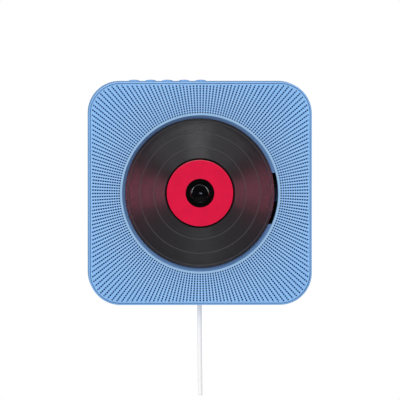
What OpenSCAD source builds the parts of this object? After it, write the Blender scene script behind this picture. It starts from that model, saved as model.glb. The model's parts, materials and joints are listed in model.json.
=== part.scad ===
// Wall mounted disc player: a square housing with an open round disc well, a grille of
// square holes, a row of push buttons on the top edge and a pull cord below.
// Frame: +Z is up, the wall is the plane y = 0, the front faces -Y, and the disc turns
// about the line x = z = 0. Depths are distances from the wall.

/* [Housing] */
// Width and height of the housing
body_w = 179; // [172:1:230]
// Depth from the wall to the front face
body_d = 42; // [41:1:60]
// Corner radius of the housing
corner_r = 25.6; // [16:0.2:32]
// Wall of the side frame
frame_wall = 2.2; // [1.8:0.1:3]
// Width of the rim that shows round the front panel
rim_w = 1.2; // [0.8:0.1:1.6]
// Gap between the rim and the front panel
rim_gap = 0.5; // [0.1:0.05:0.6]
// Rounding of the front edge
edge_r = 1; // [0.4:0.1:1.5]
// Distance from the wall to the back edge of the side frame
frame_back = 2; // [0.5:0.5:3]
// Distance from the wall to the back of the rear cover
cover_back = 3; // [2.5:0.5:5]
// Thickness of the rear cover
cover_t = 2.2; // [1.5:0.1:3]
// Gap round the rear cover
cover_gap = 0.25; // [0.1:0.05:0.5]
// Width of the ledge that the rear cover rests on
ledge_w = 1.6; // [1:0.1:3]

/* [Grille] */
// Thickness of the ribbed front panel
panel_t = 0.6; // [0.5:0.1:2]
// Thickness of the ring lattice behind it
lattice_t = 1.8; // [0.8:0.1:2.4]
// Number of rows of holes round the disc
rows = 200; // [120:8:240]
// Width of the slot between two ribs
slot_w = 1.2; // [0.7:0.05:1.3]
// Radius of the first ring of holes
first_ring_r = 65; // [64.6:0.1:68]
// Distance between rings of holes
ring_pitch = 1.91; // [1.6:0.01:2.6]
// Width of the gap between two ring bars
ring_gap = 1.15; // [0.6:0.05:1.2]
// Distance from the side of the housing to the field of holes
field_margin = 2.7; // [2.2:0.1:5]
// Number of spokes that join the rings, each behind a rib
spokes = 8; // [4:4:8]
// Width of a spoke
spoke_w = 0.8; // [0.6:0.1:1]

/* [Disc well] */
// Radius of the disc well
well_r = 62.7; // [61.5:0.1:63.5]
// Depth of the disc well
well_depth = 10; // [8:0.5:12]
// Thickness of the well's wall
well_wall = 1.6; // [1.2:0.1:2]
// Thickness of the well's floor
well_floor = 1.8; // [1.6:0.1:2.6]
// Height of the window over the deck, above the disc axis
window_up = 16.2; // [15:0.2:18]
// Height of the window over the deck, below the disc axis
window_down = 25; // [15:0.5:26]
// Distance from the disc axis to the window's inner edge
window_in = 15; // [14.5:0.5:16]

/* [Disc] */
// Diameter of the disc
disc_dia = 120; // [110:1:120]
// Thickness of the disc
disc_t = 1.2; // [1:0.1:1.5]
// Diameter of the disc's centre hole
disc_hole = 15; // [14.6:0.1:16]
// Height of the disc above the well's floor
disc_rise = 1.8; // [1.2:0.1:2.5]
// Outer diameter of the label
label_dia = 53.2; // [40:0.2:90]
// Inner diameter of the label
label_hole = 23.1; // [18:0.1:30]
// Thickness of the label
label_t = 0.1; // [0.05:0.05:0.2]

/* [Spindle] */
// Outer diameter of the turntable
turntable_dia = 28; // [24:0.5:28]
// Clearance between the hub and the disc's hole
hub_gap = 0.15; // [0.05:0.05:0.4]
// Height of the hub above the disc
hub_rise = 2.8; // [2:0.1:3.4]
// Diameter of the three retaining balls
ball_dia = 2.4; // [1.6:0.1:2.4]
// Diameter of the spindle shaft
shaft_dia = 2; // [1.5:0.1:2.5]
// Diameter of the spindle motor
spindle_motor_dia = 22; // [18:0.5:24]
// Height of the spindle motor
spindle_motor_h = 7; // [5:0.5:8]

/* [Deck] */
// Thickness of the deck plate
deck_t = 2; // [1.5:0.1:2.4]
// Gap between the deck plate and the well's floor
deck_gap = 0.6; // [0.4:0.1:1]
// Depth of the deck's skirt
skirt_h = 11.6; // [10:0.2:13]
// Wall of the deck's skirt
skirt_wall = 1.8; // [1.2:0.1:2]
// Diameter of the guide rods
rod_dia = 3; // [2:0.1:3.2]
// Distance from the deck plate down to the guide rods' axes
rod_drop = 7.6; // [7.4:0.1:8]
// Distance of the lower guide rod below the disc axis
rod_low = 16; // [15.6:0.1:16.4]
// Distance of the upper guide rod above the disc axis
rod_high = 14.5; // [14:0.1:15]
// Running clearance in the sled's bushes and on the shafts
run_gap = 0.05; // [0.02:0.01:0.09]

/* [Sled] */
// Distance of the lens from the disc axis at rest
lens_rest = 24; // [24:0.5:26]
// Length of the sled
sled_l = 20; // [18:0.5:20]
// Travel of the sled
sled_travel = 34; // [30:0.5:34]
// Diameter of the objective lens
lens_dia = 5.2; // [4:0.1:6]
// Travel of the lens to either side
focus_travel = 0.4; // [0.2:0.05:0.5]

/* [Gears] */
// Tooth size of the rack and the small gear
rack_module = 0.8; // [0.7:0.05:0.8]
// Teeth on the small gear
small_teeth = 12; // [11:1:12]
// Tooth size of the large gear and the pinion
drive_module = 0.5; // [0.45:0.01:0.5]
// Teeth on the large gear
large_teeth = 46; // [44:1:46]
// Teeth on the pinion
pinion_teeth = 10; // [9:1:10]
// Pressure angle of every tooth
pressure_angle = 25; // [22:1:26]
// Play between two teeth in mesh
backlash = 0.14; // [0.1:0.01:0.2]
// Diameter of the feed motor
feed_motor_dia = 16; // [12:0.5:16]
// Height of the feed motor
feed_motor_h = 10.5; // [8:0.5:11]

/* [Speakers] */
// Room kept free round a speaker's seat, between the disc well and the housing's corner
speaker_margin = 1.6; // [1.2:0.1:3]
// Width of the magnet, as a share of the cone's
magnet_share = 0.8; // [0.6:0.05:0.85]
// Height of the magnet
magnet_h = 7; // [5:0.5:8]
// Travel of a cone to either side
cone_travel = 0.8; // [0.4:0.1:1]

/* [Buttons] */
// Number of buttons
buttons = 5; // [3:1:5]
// Position of the first button, left of the disc axis
button_start = 52.6; // [48:0.2:56]
// Distance between buttons
button_pitch = 13.4; // [12:0.1:14]
// Diameter of a button
button_dia = 8.4; // [7:0.1:9]
// Height of a button's dome above the housing
button_rise = 1.3; // [0.6:0.1:1.6]
// Travel of a button
button_travel = 0.8; // [0.4:0.1:1]
// Gap round a button
button_gap = 0.3; // [0.2:0.05:0.4]
// Distance from the wall to the row of buttons
button_depth = 21; // [20:0.5:24]

/* [Pull switch] */
// Diameter of the pull cord
cord_dia = 3.6; // [3:0.1:4]
// Distance from the wall to the cord
cord_depth = 21; // [20.6:0.2:23]
// Travel of the pull switch
pull_travel = 6; // [4:0.5:7]
// Length of the return spring at rest
spring_l = 12; // [11:0.5:13]
// Diameter of the spring wire
wire_dia = 0.7; // [0.5:0.05:0.8]
// Turns of the return spring
spring_turns = 6; // [5:1:8]

/* [Wall bracket] */
// Width of the wall bracket
bracket_w = 100; // [90:1:110]
// Height of the wall bracket
bracket_h = 40; // [32:1:44]
// Thickness of the bracket's sheet
bracket_t = 1.6; // [1.2:0.1:2]
// Distance between the two wall screws
screw_spacing = 60; // [40:1:62]
// Diameter of the holes for the wall screws
screw_hole = 4.5; // [3.5:0.1:5.5]
// Distance that the housing lifts to come off the hooks
lift_travel = 10; // [9.5:0.5:12]
// Width of a hook
hook_w = 14; // [10:0.5:16]
// Height of a hook above its neck
hook_up = 8; // [6:0.5:8]

/* [Hidden] */

$fn = 96;
// Smoothness of small round pieces
small_fn = 48;
// A little more than a wall, for cuts that go right through
past = 1;

// Colours
blue = [0.42, 0.64, 0.86];
deep_blue = [0.22, 0.36, 0.55];
black = [0.07, 0.07, 0.08];
vinyl = [0.12, 0.12, 0.13];
red = [0.85, 0.11, 0.27];
steel = [0.72, 0.73, 0.75];
brass = [0.78, 0.62, 0.3];
board_green = [0.1, 0.36, 0.2];
rubber = [0.15, 0.15, 0.16];
natural = [0.9, 0.89, 0.85];
glass = [0.45, 0.55, 0.75];
cord_white = [0.95, 0.94, 0.95];

// Half the height of the housing, which is where its top and bottom stand
half_w = body_w / 2;
inner_w = body_w - 2 * frame_wall;

// Depths from the wall, back to front
cover_in = cover_back + cover_t;
panel_back = body_d - panel_t;
lattice_back = panel_back - lattice_t;
floor_front = body_d - well_depth;
floor_back = floor_front - well_floor;
well_out_r = well_r + well_wall;
seat_at = floor_front + disc_rise;
disc_front = seat_at + disc_t;
deck_front = floor_back - deck_gap;
deck_back = deck_front - deck_t;
rod_at = deck_back - rod_drop;

// Front panel and its field of holes
panel_w = body_w - 2 * (rim_w + rim_gap);
panel_r = corner_r - rim_w - rim_gap;
field_w = body_w - 2 * field_margin;
field_r = max(corner_r - field_margin, panel_r - (panel_w - field_w) / 2);
row_step = 360 / rows;
slot_start = first_ring_r - ring_gap / 2;
field_reach = outline_reach(45, field_w / 2, field_r);
rings = floor((field_reach - first_ring_r) / ring_pitch);

// Pocket in the rear cover, hooks and the slots that they pass through
pocket_clear = 1.5;
pocket_t = 2;
pocket_depth = 4;
pocket_back = cover_back + pocket_depth;
pocket_in = pocket_back + pocket_t;
pocket_w = bracket_w + 2 * pocket_clear;
pocket_top = bracket_h / 2 + pocket_clear;
pocket_low = -bracket_h / 2 - lift_travel - pocket_clear;
hook_x = bracket_w / 2 - hook_w / 2 - 3;
hook_z = 4;
hook_gap = 0.4;
hook_side = 1;
hook_back = pocket_in + hook_gap;
hook_front = hook_back + bracket_t;
slot_top = hook_z + bracket_t;
slot_low = hook_z - lift_travel - hook_side;

// Corner posts and case screws
post_x = half_w - 12.5;
post_z = 34;
post_dia = 8;
post_web = 3;
case_screw_dia = 2.9;
case_screw_l = 12;
head_dia = 6;
head_t = 1.4;
thread_gap = 0.05;

// Rubber bumpers between the rear cover and the wall
bumper_dia = 12;
bumper_stem = 4;
bumper_x = 56;
bumper_z = 66;
bumper_edge = 0.8;

// Vent slots in the rear cover
vents = 9;
vent_w = 2.4;
vent_l = 18;
vent_pitch = 6;
vent_high = 46;
vent_low = -38;

// Deck outline about the disc axis: its right end is narrow, between the case posts
deck_left = -26;
deck_mid = 52;
deck_low = -44;
deck_high = 30;
tongue_low = -27;
tongue_high = 20;
sled_end_room = 2.2;
slot_half = 7;
slot_margin = 2;
sled_in = lens_rest - sled_l / 2;
sled_out = sled_in + sled_l;
rod_end = sled_out + sled_travel + sled_end_room;
deck_right = rod_end + skirt_wall;
lens_slot_in = lens_rest - slot_half;
lens_slot_out = lens_rest + sled_travel + slot_half + slot_margin;
rod_start = 12;
holder_t = 3;
holder_w = 5;

// Rubber dampers under the deck, and their screws
damper_hole = 6.1;
damper_neck = 6;
damper_dia = 9;
damper_lower = 1;
damper_screw_dia = 2.9;
damper_bore = 3.1;
damper_screw_in = 1.3;
damper_room = skirt_wall + damper_dia / 2 + 0.3;
ear_left = deck_left + damper_room;
ear_right = deck_mid - damper_room;
ear_high = deck_high - damper_room;
ear_low = deck_low + damper_room;

// Turntable and hub
turntable_gap = 0.5;
turntable_back = deck_front + turntable_gap;
seat_ring_w = 3.2;
seat_step = 0.6;
hub_r = disc_hole / 2 - hub_gap;
hub_back = seat_at - seat_step;
dome_rise = 1.4;
dome_start = disc_front + hub_rise - dome_rise;
dome_r = (hub_r * hub_r + dome_rise * dome_rise) / (2 * dome_rise);
ball_r = ball_dia / 2;
ball_at = disc_front + ball_r / 2;
ball_orbit = hub_r - ball_r;
balls = 3;
ball_gap = 0.02;
shaft_r = shaft_dia / 2;
shaft_hold = 4;
shaft_front = hub_back + 1.6;
shaft_back = deck_back - spindle_motor_h + 1.4;

// Sled: its bushes, fork, rack and the bridge between them, by height and by depth
bush_wall = 1.6;
bush_r = rod_dia / 2 + bush_wall;
bush_l = 4;
sled_low = -12.2;
sled_high = 11.2;
sled_behind = 2.5;
sled_ahead = 5.6;
sled_back = rod_at - sled_behind;
sled_front = rod_at + sled_ahead;
fork_w = 8;
fork_out = 2.2;
fork_wall = 0.9;
fork_room = 0.3;
arm_behind = 1.5;
bridge_gap = 0.4;
bridge_ahead = 3.3;
bridge_back = rod_at + rod_dia / 2 + bridge_gap;
bridge_front = rod_at + bridge_ahead;
rack_face = 3;
rack_back = bridge_front - rack_face;
rack_margin = 4;

// Gear train: the rack drives the small gear, and the large gear meets the pinion
addendum = 0.8;
dedendum = 1.05;
small_r = rack_module * small_teeth / 2;
large_r = drive_module * large_teeth / 2;
pinion_r = drive_module * pinion_teeth / 2;
gear_x = 30;
gear_z = -28.8;
rack_pitch_z = gear_z + small_r;
rack_body = 3.2;
tooth_sink = 0.1;
rack_low = gear_x - sled_travel - rack_margin;
large_face = 2.4;
large_back = bridge_front + 0.7;
large_front = large_back + large_face;
motor_way = 202;
motor_x = gear_x + (large_r + pinion_r) * cos(motor_way);
motor_z = gear_z + (large_r + pinion_r) * sin(motor_way);
motor_front = large_back - 0.6;
motor_back = motor_front - feed_motor_h;
motor_shaft_r = 0.75;
motor_shaft_in = 2.4;
pillar_r = 1.5;
pillar_orbit = 5.5;
pillar_spread = 38;
axle_r = 1;
axle_head_r = 2.2;
axle_head_t = 0.8;
axle_play = 0.2;
axle_back = rack_back - axle_play - axle_head_t;
flank_steps = 5;

// Objective lens and its holder
holder_x = 10;
holder_z = 11;
holder_back = sled_front + focus_travel + 0.1;
holder_front = floor_back - focus_travel - 0.1;
collar_front = seat_at - 1.6;
collar_r = lens_dia / 2 + 0.9;
lens_well_r = 5;
lens_well_depth = 5;
lens_bulge = 0.6;
lens_back = holder_back + 1.5;

// Speakers: each fills the room between the well and the inside of the housing's corner
corner_reach = sqrt(2) * (half_w - frame_wall) - (sqrt(2) - 1) * (corner_r - frame_wall);
speaker_room = corner_reach - well_out_r;
speaker_way = (corner_reach + well_out_r) / 2;
speaker_x = speaker_way / sqrt(2);
speaker_z = -speaker_x;
seat_t = 1.6;
seat_more = 1;
seat_web = 20;
seat_out_r = speaker_room / 2 - speaker_margin;
flange_front = lattice_back - seat_t;
flange_t = 1.6;
flange_back = flange_front - flange_t;
flange_out_r = seat_out_r - seat_more;
speaker_screw_dia = 2.8;
speaker_head_dia = 5;
speaker_screw_edge = 2.2;
speaker_orbit = flange_out_r - speaker_screw_edge;
speaker_screw_at = speaker_orbit / sqrt(2);
screw_room = 0.3;
basket_t = 0.8;
basket_r = speaker_orbit - speaker_head_dia / 2 - screw_room - basket_t;
basket_depth = 7.6;
basket_rim = 1.2;
basket_deep = flange_back - basket_depth;
basket_windows = 4;
basket_window_w = 10;
basket_window_h = 3.4;
basket_foot = 1.6;
basket_hub = 4;
cone_gap = 0.3;
cone_r = basket_r - cone_gap;
magnet_r = cone_r * magnet_share;
magnet_edge = 0.6;
magnet_back = basket_deep - magnet_h;
coil_share = 0.31;
coil_r = cone_r * coil_share;
coil_t = 0.4;
coil_room = 0.6;
coil_sink = 3.5;
pole_r = coil_r - coil_t / 2 - coil_room;
yoke_t = 1.6;
roll_r = 1.7;
cone_t = 0.5;
cone_drop = 1.2;
cone_front = flange_front - cone_drop;
neck_rise = 3;
cone_neck = basket_deep + neck_rise;
cap_rise = 1.8;

// Buttons, key board and switches
button_r = button_dia / 2;
button_hole_r = button_r + button_gap;
dome_button_r = (button_r * button_r + button_rise * button_rise) / (2 * button_rise);
button_flange_edge = 0.7;
button_flange_r = button_hole_r + button_flange_edge;
button_flange_t = 0.8;
flange_drop = 0.2;
button_flange_top = half_w - frame_wall - flange_drop;
stem_r = 1.5;
switch_w = 6;
switch_h = 3.6;
switch_well = 2.4;
stem_gap = 0.1;
key_board_t = 1.6;
key_board_drop = 7.2;
key_board_top = half_w - frame_wall - key_board_drop;
switch_top = key_board_top + switch_h;
stem_low = switch_top - switch_well + button_travel + stem_gap;
key_post = 4;
key_post_gap = 1;
key_side = button_flange_r + key_post + key_post_gap;
key_left = -button_start - key_side;
key_right = -button_start + (buttons - 1) * button_pitch + key_side;
key_back = 14.9;
key_reach = 7;
key_front = button_depth + key_reach;

// Main board and what stands on it
board_back = 13;
board_t = 1.6;
board_front = board_back + board_t;
board_half = 52;
board_top = -48;
board_low = -half_w + 5.5;
boss_x = 48;
boss_in = 4;
boss_r = 3;
board_screw_dia = 2.8;
ribbon_w = 10;
ribbon_t = key_back - board_front;
ribbon_plug_w = ribbon_w + 4;
ribbon_plug_h = 6;
ribbon_plug_t = 2.4;
ribbon_x = -boss_x + head_dia / 2 + ribbon_plug_w / 2 + 1;
ribbon_low = board_top - 4;
main_chip_w = 14;
main_chip_x = 24;
amp_chip_w = 10;
amp_chip_x = -18;
small_chip_w = 8;
chip_drop = 9;
chip_gap = 1;
chip_t = 1.6;
tins = 3;
tin_first = 16;
tin_pitch = 10;
tin_r = 4;
tin_h = 5;
tin_edge = 0.5;
tin_room = 2;
inlet_x = -30;
inlet_w = 9;
inlet_h = 11;
inlet_l = 14;
inlet_bore = 5.5;
inlet_pin = 2;
inlet_depth = 9.5;
inlet_at = board_front + inlet_h / 2;
inlet_access = 9;

// Pull switch, cord and bush
case_gap = 0.8;
case_low = -half_w + frame_wall + case_gap;
case_floor = 1.6;
case_wall = 1.6;
channel_w = 8.6;
slider_w = 8;
slider_h = 8;
case_w = channel_w + 2 * case_wall;
spring_low = case_low + case_floor;
slider_low = spring_low + spring_l;
slider_top = slider_low + slider_h;
case_top = slider_top + 0.2 + case_wall;
case_front = cord_depth + case_w / 2;
cord_r = cord_dia / 2;
cord_room = 0.4;
spring_r = cord_r + cord_room + wire_dia / 2 + 0.2;
bush_out_r = cord_r + cord_room + 1.8;
bush_flange_r = bush_out_r + 1.4;
bush_flange_t = 0.7;
cord_sides = 8;
spring_sides = 6;
spring_steps = 14;

// Route of the cord: how far it swings to the right, and how far below the housing
cord_hang = [
    [0, 0.5], [0, 5.5], [0, 10.5], [0, 15.5], [0, 20.5], [0, 25.5], [0.1, 30.5],
    [0.1, 35.5], [0.2, 40.5], [0.2, 45.5], [0.3, 50.5], [0.4, 55.5], [0.4, 60.5],
    [0.5, 65.5], [0.6, 70.5], [0.6, 73.5]
];

// Distance from the centre to the outline of a rounded square, in the direction a
function outline_reach(a, half, r) =
    let (
        turn = abs((a + 45) % 90 - 45),
        k = half - r,
        along = k * (cos(turn) + sin(turn))
    )
    half * tan(turn) <= k
        ? half / cos(turn)
        : along + sqrt(r * r - 2 * k * k + along * along);

// Points along an arc about a centre
function arc(centre, r, from, to, steps) = [
    for (i = [0 : steps])
        let (a = from + (to - from) * i / steps)
        [centre[0] + r * cos(a), centre[1] + r * sin(a)]
];

// Involute function of an angle, in degrees
function inv(a) = tan(a) * 180 / PI - a;

// Half the angle that a tooth takes up at radius r
function tooth_half(r, pitch_r, teeth) =
    let (
        base_r = pitch_r * cos(pressure_angle),
        thick = (PI * pitch_r / teeth - backlash / 2) / (2 * pitch_r) * 180 / PI
    )
    thick + inv(pressure_angle) - inv(acos(min(1, base_r / r)));

// Outline of a spur gear with a tooth on its first axis
function gear_outline(module_size, teeth) =
    let (
        pitch_r = module_size * teeth / 2,
        tip_r = pitch_r + addendum * module_size,
        root_r = pitch_r - dedendum * module_size,
        start_r = max(root_r, pitch_r * cos(pressure_angle))
    )
    [
        for (tooth = [0 : teeth - 1])
            for (side = [-1, 1], step = [0 : flank_steps + 1])
                let (
                    k = side < 0 ? step : flank_steps + 1 - step,
                    on_flank = start_r + (tip_r - start_r) * (k - 1) / flank_steps,
                    r = k == 0 ? root_r : on_flank,
                    a = 360 * tooth / teeth + side * tooth_half(max(r, start_r), pitch_r, teeth)
                )
                r * [cos(a), sin(a)]
    ];

// Points of one ring round a tube whose path runs down at [x, y, z]
function tube_ring(centre, across, over, r, sides) = [
    for (i = [0 : sides - 1])
        let (a = 360 * (i + 0.5) / sides)
        centre + r * (cos(a) * across + sin(a) * over)
];

// Faces of a closed tube of rings
function tube_faces(count, sides) = concat(
    [[for (i = [sides - 1 : -1 : 0]) i]],
    [
        for (ring = [0 : count - 2], i = [0 : sides - 1])
            let (j = (i + 1) % sides, low = ring * sides, high = low + sides)
            each [[low + i, low + j, high + j], [low + i, high + j, high + i]]
    ],
    [[for (i = [0 : sides - 1]) (count - 1) * sides + i]]
);

// Lays a flat drawing on a plane at a depth: drawing x is x, drawing y is height, and
// what stands up from it points to the front
module at_depth(d) {
    translate([0, -d, 0])
        rotate([90, 0, 0])
            children();
}

// A flat drawing made solid between two depths
module slab(back, front) {
    at_depth(back)
        linear_extrude(front - back)
            children();
}

// A profile of radius and depth turned about the front to back axis
module turned() {
    at_depth(0)
        rotate_extrude()
            children();
}

// Moves a piece in the plane of the wall
module place(x, z) {
    translate([x, 0, z])
        children();
}

// Square with round corners
module rounded_square(w, r) {
    square([w - 2 * r, w], center = true);
    square([w, w - 2 * r], center = true);
    for (sx = [-1, 1], sy = [-1, 1])
        translate([sx * (w / 2 - r), sy * (w / 2 - r)])
            circle(r);
}

// Rectangle between two x places and two heights
module panel(left, right, low, high) {
    translate([left, low])
        square([right - left, high - low]);
}

// Carries a profile round a rounded square: profile x points outwards from the outline and
// profile y to the front
module around_square(w, r) {
    straight = w - 2 * r;
    for (turn = [0 : 90 : 270])
        rotate(turn) {
            translate([straight / 2, straight / 2, 0])
                rotate_extrude(angle = 90)
                    translate([r, 0])
                        children();
            translate([w / 2, straight / 2, 0])
                rotate([90, 0, 0])
                    linear_extrude(straight)
                        children();
        }
}

// Puts a copy at each of the four points of a rectangle about the centre
module at_corners(x, z) {
    for (sx = [-1, 1], sz = [-1, 1])
        place(sx * x, sz * z)
            children();
}

// Pan head screw that points to the front, with the seat of its head at a depth
module screw(seat, dia, l, head = head_dia) {
    slab(seat, seat + l)
        circle(d = dia, $fn = small_fn);
    turned()
        polygon(concat(
            [[0, seat], [0, seat - head_t]],
            arc([head / 2 - 0.6, seat - head_t + 0.6], 0.6, -90, 0, 4),
            [[head / 2, seat]]
        ));
}

// Screw that points to the wall, with the seat of its head at a depth
module screw_back(seat, dia, l) {
    slab(seat - l, seat)
        circle(d = dia, $fn = small_fn);
    turned()
        polygon(concat(
            [[0, seat], [head_dia / 2, seat]],
            arc([head_dia / 2 - 0.6, seat + head_t - 0.6], 0.6, 0, 90, 4),
            [[0, seat + head_t]]
        ));
}

module wall_bracket() {
    color(steel) {
        difference() {
            slab(0, bracket_t)
                for (sx = [-1, 1], sz = [-1, 1])
                    bracket_quarter(sx, sz);
            for (sx = [-1, 1])
                place(sx * screw_spacing / 2, 0)
                    slab(-past, bracket_t + past)
                        circle(d = screw_hole, $fn = small_fn);
        }
        for (sx = [-1, 1])
            place(sx * hook_x, 0) {
                slab(bracket_t, hook_front)
                    panel(-hook_w / 2, hook_w / 2, hook_z, slot_top);
                slab(hook_back, hook_front)
                    panel(-hook_w / 2, hook_w / 2, hook_z, slot_top + hook_up);
            }
    }
}

// One quarter of the bracket's plate, with its round corner
module bracket_quarter(sx, sz) {
    round_r = 5;
    scale_x = bracket_w / 2;
    scale_z = bracket_h / 2;
    mirror([sx < 0 ? 1 : 0, 0])
        mirror([0, sz < 0 ? 1 : 0]) {
            square([scale_x - round_r, scale_z]);
            square([scale_x, scale_z - round_r]);
            translate([scale_x - round_r, scale_z - round_r])
                circle(round_r);
        }
}

module rear_cover() {
    cover_w = inner_w - 2 * cover_gap;
    color(blue)
        difference() {
            union() {
                slab(cover_back, cover_in)
                    rounded_square(cover_w, corner_r - frame_wall - cover_gap);
                slab(cover_in, pocket_in)
                    panel(-pocket_w / 2 - pocket_t, pocket_w / 2 + pocket_t,
                        pocket_low - pocket_t, pocket_top + pocket_t);
                for (sx = [-1, 1], z = [board_top - boss_in, board_low + boss_in])
                    place(sx * boss_x, z)
                        slab(cover_in, board_back)
                            circle(boss_r, $fn = small_fn);
            }
            slab(cover_back - past, pocket_back)
                panel(-pocket_w / 2, pocket_w / 2, pocket_low, pocket_top);
            for (sx = [-1, 1])
                place(sx * hook_x, 0)
                    slab(pocket_back - past, pocket_in + past)
                        panel(-hook_w / 2 - hook_side, hook_w / 2 + hook_side, slot_low, slot_top);
            for (sx = [-1, 1], z = [board_top - boss_in, board_low + boss_in])
                place(sx * boss_x, z)
                    slab(cover_in + past, board_back + past)
                        circle(d = board_screw_dia + 2 * thread_gap, $fn = small_fn);
            at_corners(post_x, post_z) {
                slab(cover_back - past, cover_in + past)
                    circle(d = case_screw_dia + 0.6, $fn = small_fn);
                slab(cover_back - past, cover_back + head_t)
                    circle(d = head_dia + 0.6, $fn = small_fn);
            }
            at_corners(bumper_x, bumper_z)
                slab(cover_back - past, cover_in + past)
                    circle(d = bumper_stem + 2 * thread_gap, $fn = small_fn);
            for (z = [vent_high, vent_low - vent_l], i = [0 : vents - 1])
                place((i - (vents - 1) / 2) * vent_pitch, z)
                    slab(cover_back - past, cover_in + past)
                        vent();
        }
}

// One upright vent slot with round ends
module vent() {
    panel(-vent_w / 2, vent_w / 2, 0, vent_l);
    for (z = [0, vent_l])
        translate([0, z])
            circle(d = vent_w, $fn = small_fn);
}

module side_frame() {
    color(blue) {
        difference() {
            union() {
                slab(frame_back, body_d - edge_r)
                    rounded_square(body_w, corner_r);
                slab(body_d - edge_r, body_d)
                    rounded_square(body_w - 2 * edge_r, corner_r - edge_r);
                at_depth(body_d - edge_r)
                    around_square(body_w, corner_r)
                        translate([-edge_r, 0])
                            circle(edge_r, $fn = 32);
            }
            slab(frame_back - past, cover_in)
                rounded_square(inner_w, corner_r - frame_wall);
            slab(cover_in - past, cover_in + ledge_w + past)
                rounded_square(inner_w - 2 * ledge_w, corner_r - frame_wall - ledge_w);
            slab(cover_in + ledge_w, lattice_back)
                rounded_square(inner_w, corner_r - frame_wall);
            slab(lattice_back - past, lattice_back + past)
                rounded_square(inner_w, corner_r - frame_wall);
            slab(lattice_back, body_d + past)
                rounded_square(panel_w + 2 * rim_gap, panel_r + rim_gap);
            for (i = [0 : buttons - 1])
                translate([button_x(i), -button_depth, half_w - frame_wall - past])
                    cylinder(r = button_hole_r, h = frame_wall + 2 * past, $fn = small_fn);
            translate([0, -cord_depth, -half_w - past])
                cylinder(r = bush_out_r, h = frame_wall + 2 * past, $fn = small_fn);
            translate([inlet_x, -inlet_at, -half_w - past])
                cylinder(d = inlet_access, h = frame_wall + 2 * past, $fn = small_fn);
        }
        intersection() {
            slab(key_back, key_front)
                rounded_square(body_w - frame_wall, corner_r - frame_wall / 2);
            for (x = [key_left, key_right - key_post])
                translate([x, -key_front, key_board_top])
                    cube([key_post, key_front - key_back, half_w - key_board_top]);
        }
    }
}

function button_x(i) = -button_start + i * button_pitch;

module front_grille() {
    color(blue)
        difference() {
            slab(panel_back, body_d)
                rounded_square(panel_w, panel_r);
            slab(panel_back - past, body_d + past)
                circle(well_r);
            at_depth(panel_back - past)
                for (row = [0 : rows - 1])
                    grille_slot(row * row_step);
        }
}

// One slot between two ribs, from the first ring out to the edge of the field
module grille_slot(a) {
    reach = outline_reach(a, field_w / 2, field_r);
    rotate(a)
        translate([slot_start, -slot_w / 2, 0])
            cube([reach - slot_start, slot_w, panel_t + 2 * past]);
}

module grille_rings() {
    color(blue)
        difference() {
            slab(lattice_back, panel_back)
                rounded_square(panel_w, panel_r);
            slab(lattice_back - past, panel_back + past)
                circle(well_r);
            difference() {
                intersection() {
                    slab(lattice_back - past, panel_back + past)
                        rounded_square(field_w, field_r);
                    for (ring = [0 : rings])
                        ring_cut(first_ring_r + ring * ring_pitch);
                }
                at_depth(lattice_back - 2 * past)
                    for (spoke = [0 : spokes - 1])
                        rotate(row_step / 2 + spoke * 360 / spokes)
                            translate([0, -spoke_w / 2, 0])
                                cube([2 * body_w, spoke_w, lattice_t + 4 * past]);
            }
        }
}

// The gap between two ring bars
module ring_cut(r) {
    difference() {
        slab(lattice_back - past, panel_back + past)
            circle(r + ring_gap / 2);
        slab(lattice_back - 2 * past, panel_back + 2 * past)
            circle(r - ring_gap / 2);
    }
}

module disc_well() {
    post_way = atan2(post_z, post_x);
    post_reach = norm([post_x, post_z]);
    color(deep_blue)
        difference() {
            union() {
                turned()
                    polygon([
                        [0, floor_back], [well_out_r, floor_back], [well_out_r, lattice_back],
                        [well_r, lattice_back], [well_r, floor_front], [0, floor_front]
                    ]);
                for (sx = [-1, 1])
                    place(sx * speaker_x, speaker_z)
                        speaker_seat(sx);
                at_corners(post_x, post_z)
                    slab(cover_in, lattice_back)
                        circle(d = post_dia, $fn = small_fn);
                for (sx = [0, 1], sz = [0, 1])
                    mirror([sx, 0, 0])
                        mirror([0, 0, sz])
                            slab(floor_back, lattice_back)
                                rotate(post_way)
                                    panel(well_r + well_wall / 2, post_reach, -post_web / 2,
                                        post_web / 2);
            }
            intersection() {
                slab(floor_back - past, floor_front + past)
                    circle(well_r);
                slab(floor_back - past, floor_front + past)
                    panel(-window_in, well_r + past, -window_down, window_up);
            }
            at_corners(post_x, post_z)
                slab(cover_in - past, cover_in + case_screw_l)
                    circle(d = case_screw_dia + 2 * thread_gap, $fn = small_fn);
            for (x = [ear_left, ear_right], z = [ear_low, ear_high])
                place(x, z)
                    slab(floor_back - past, floor_back + damper_screw_in + thread_gap)
                        circle(d = damper_screw_dia + 2 * thread_gap, $fn = small_fn);
        }
}

// Ring that a speaker is screwed to, with the web that joins it to the well
module speaker_seat(sx) {
    seat_way = sx > 0 ? 135 : 45;
    difference() {
        slab(flange_front, lattice_back) {
            circle(seat_out_r);
            rotate(seat_way)
                panel(0, speaker_way - well_out_r + well_wall / 2, -seat_web / 2, seat_web / 2);
        }
        slab(flange_front - past, lattice_back + past)
            circle(basket_r);
        at_corners(speaker_screw_at, speaker_screw_at)
            slab(flange_front - past, lattice_back - screw_room)
                circle(d = speaker_screw_dia + 2 * thread_gap, $fn = small_fn);
    }
}

module case_screws() {
    color(steel)
        at_corners(post_x, post_z)
            screw(cover_back + head_t, case_screw_dia, case_screw_l - 0.5 + cover_t - head_t);
}

module wall_bumpers() {
    color(rubber)
        at_corners(bumper_x, bumper_z)
            turned()
                polygon([
                    [0, 0], [bumper_dia / 2 - bumper_edge, 0], [bumper_dia / 2, bumper_edge],
                    [bumper_dia / 2, cover_back], [bumper_stem / 2, cover_back],
                    [bumper_stem / 2, cover_in], [0, cover_in]
                ]);
}

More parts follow.
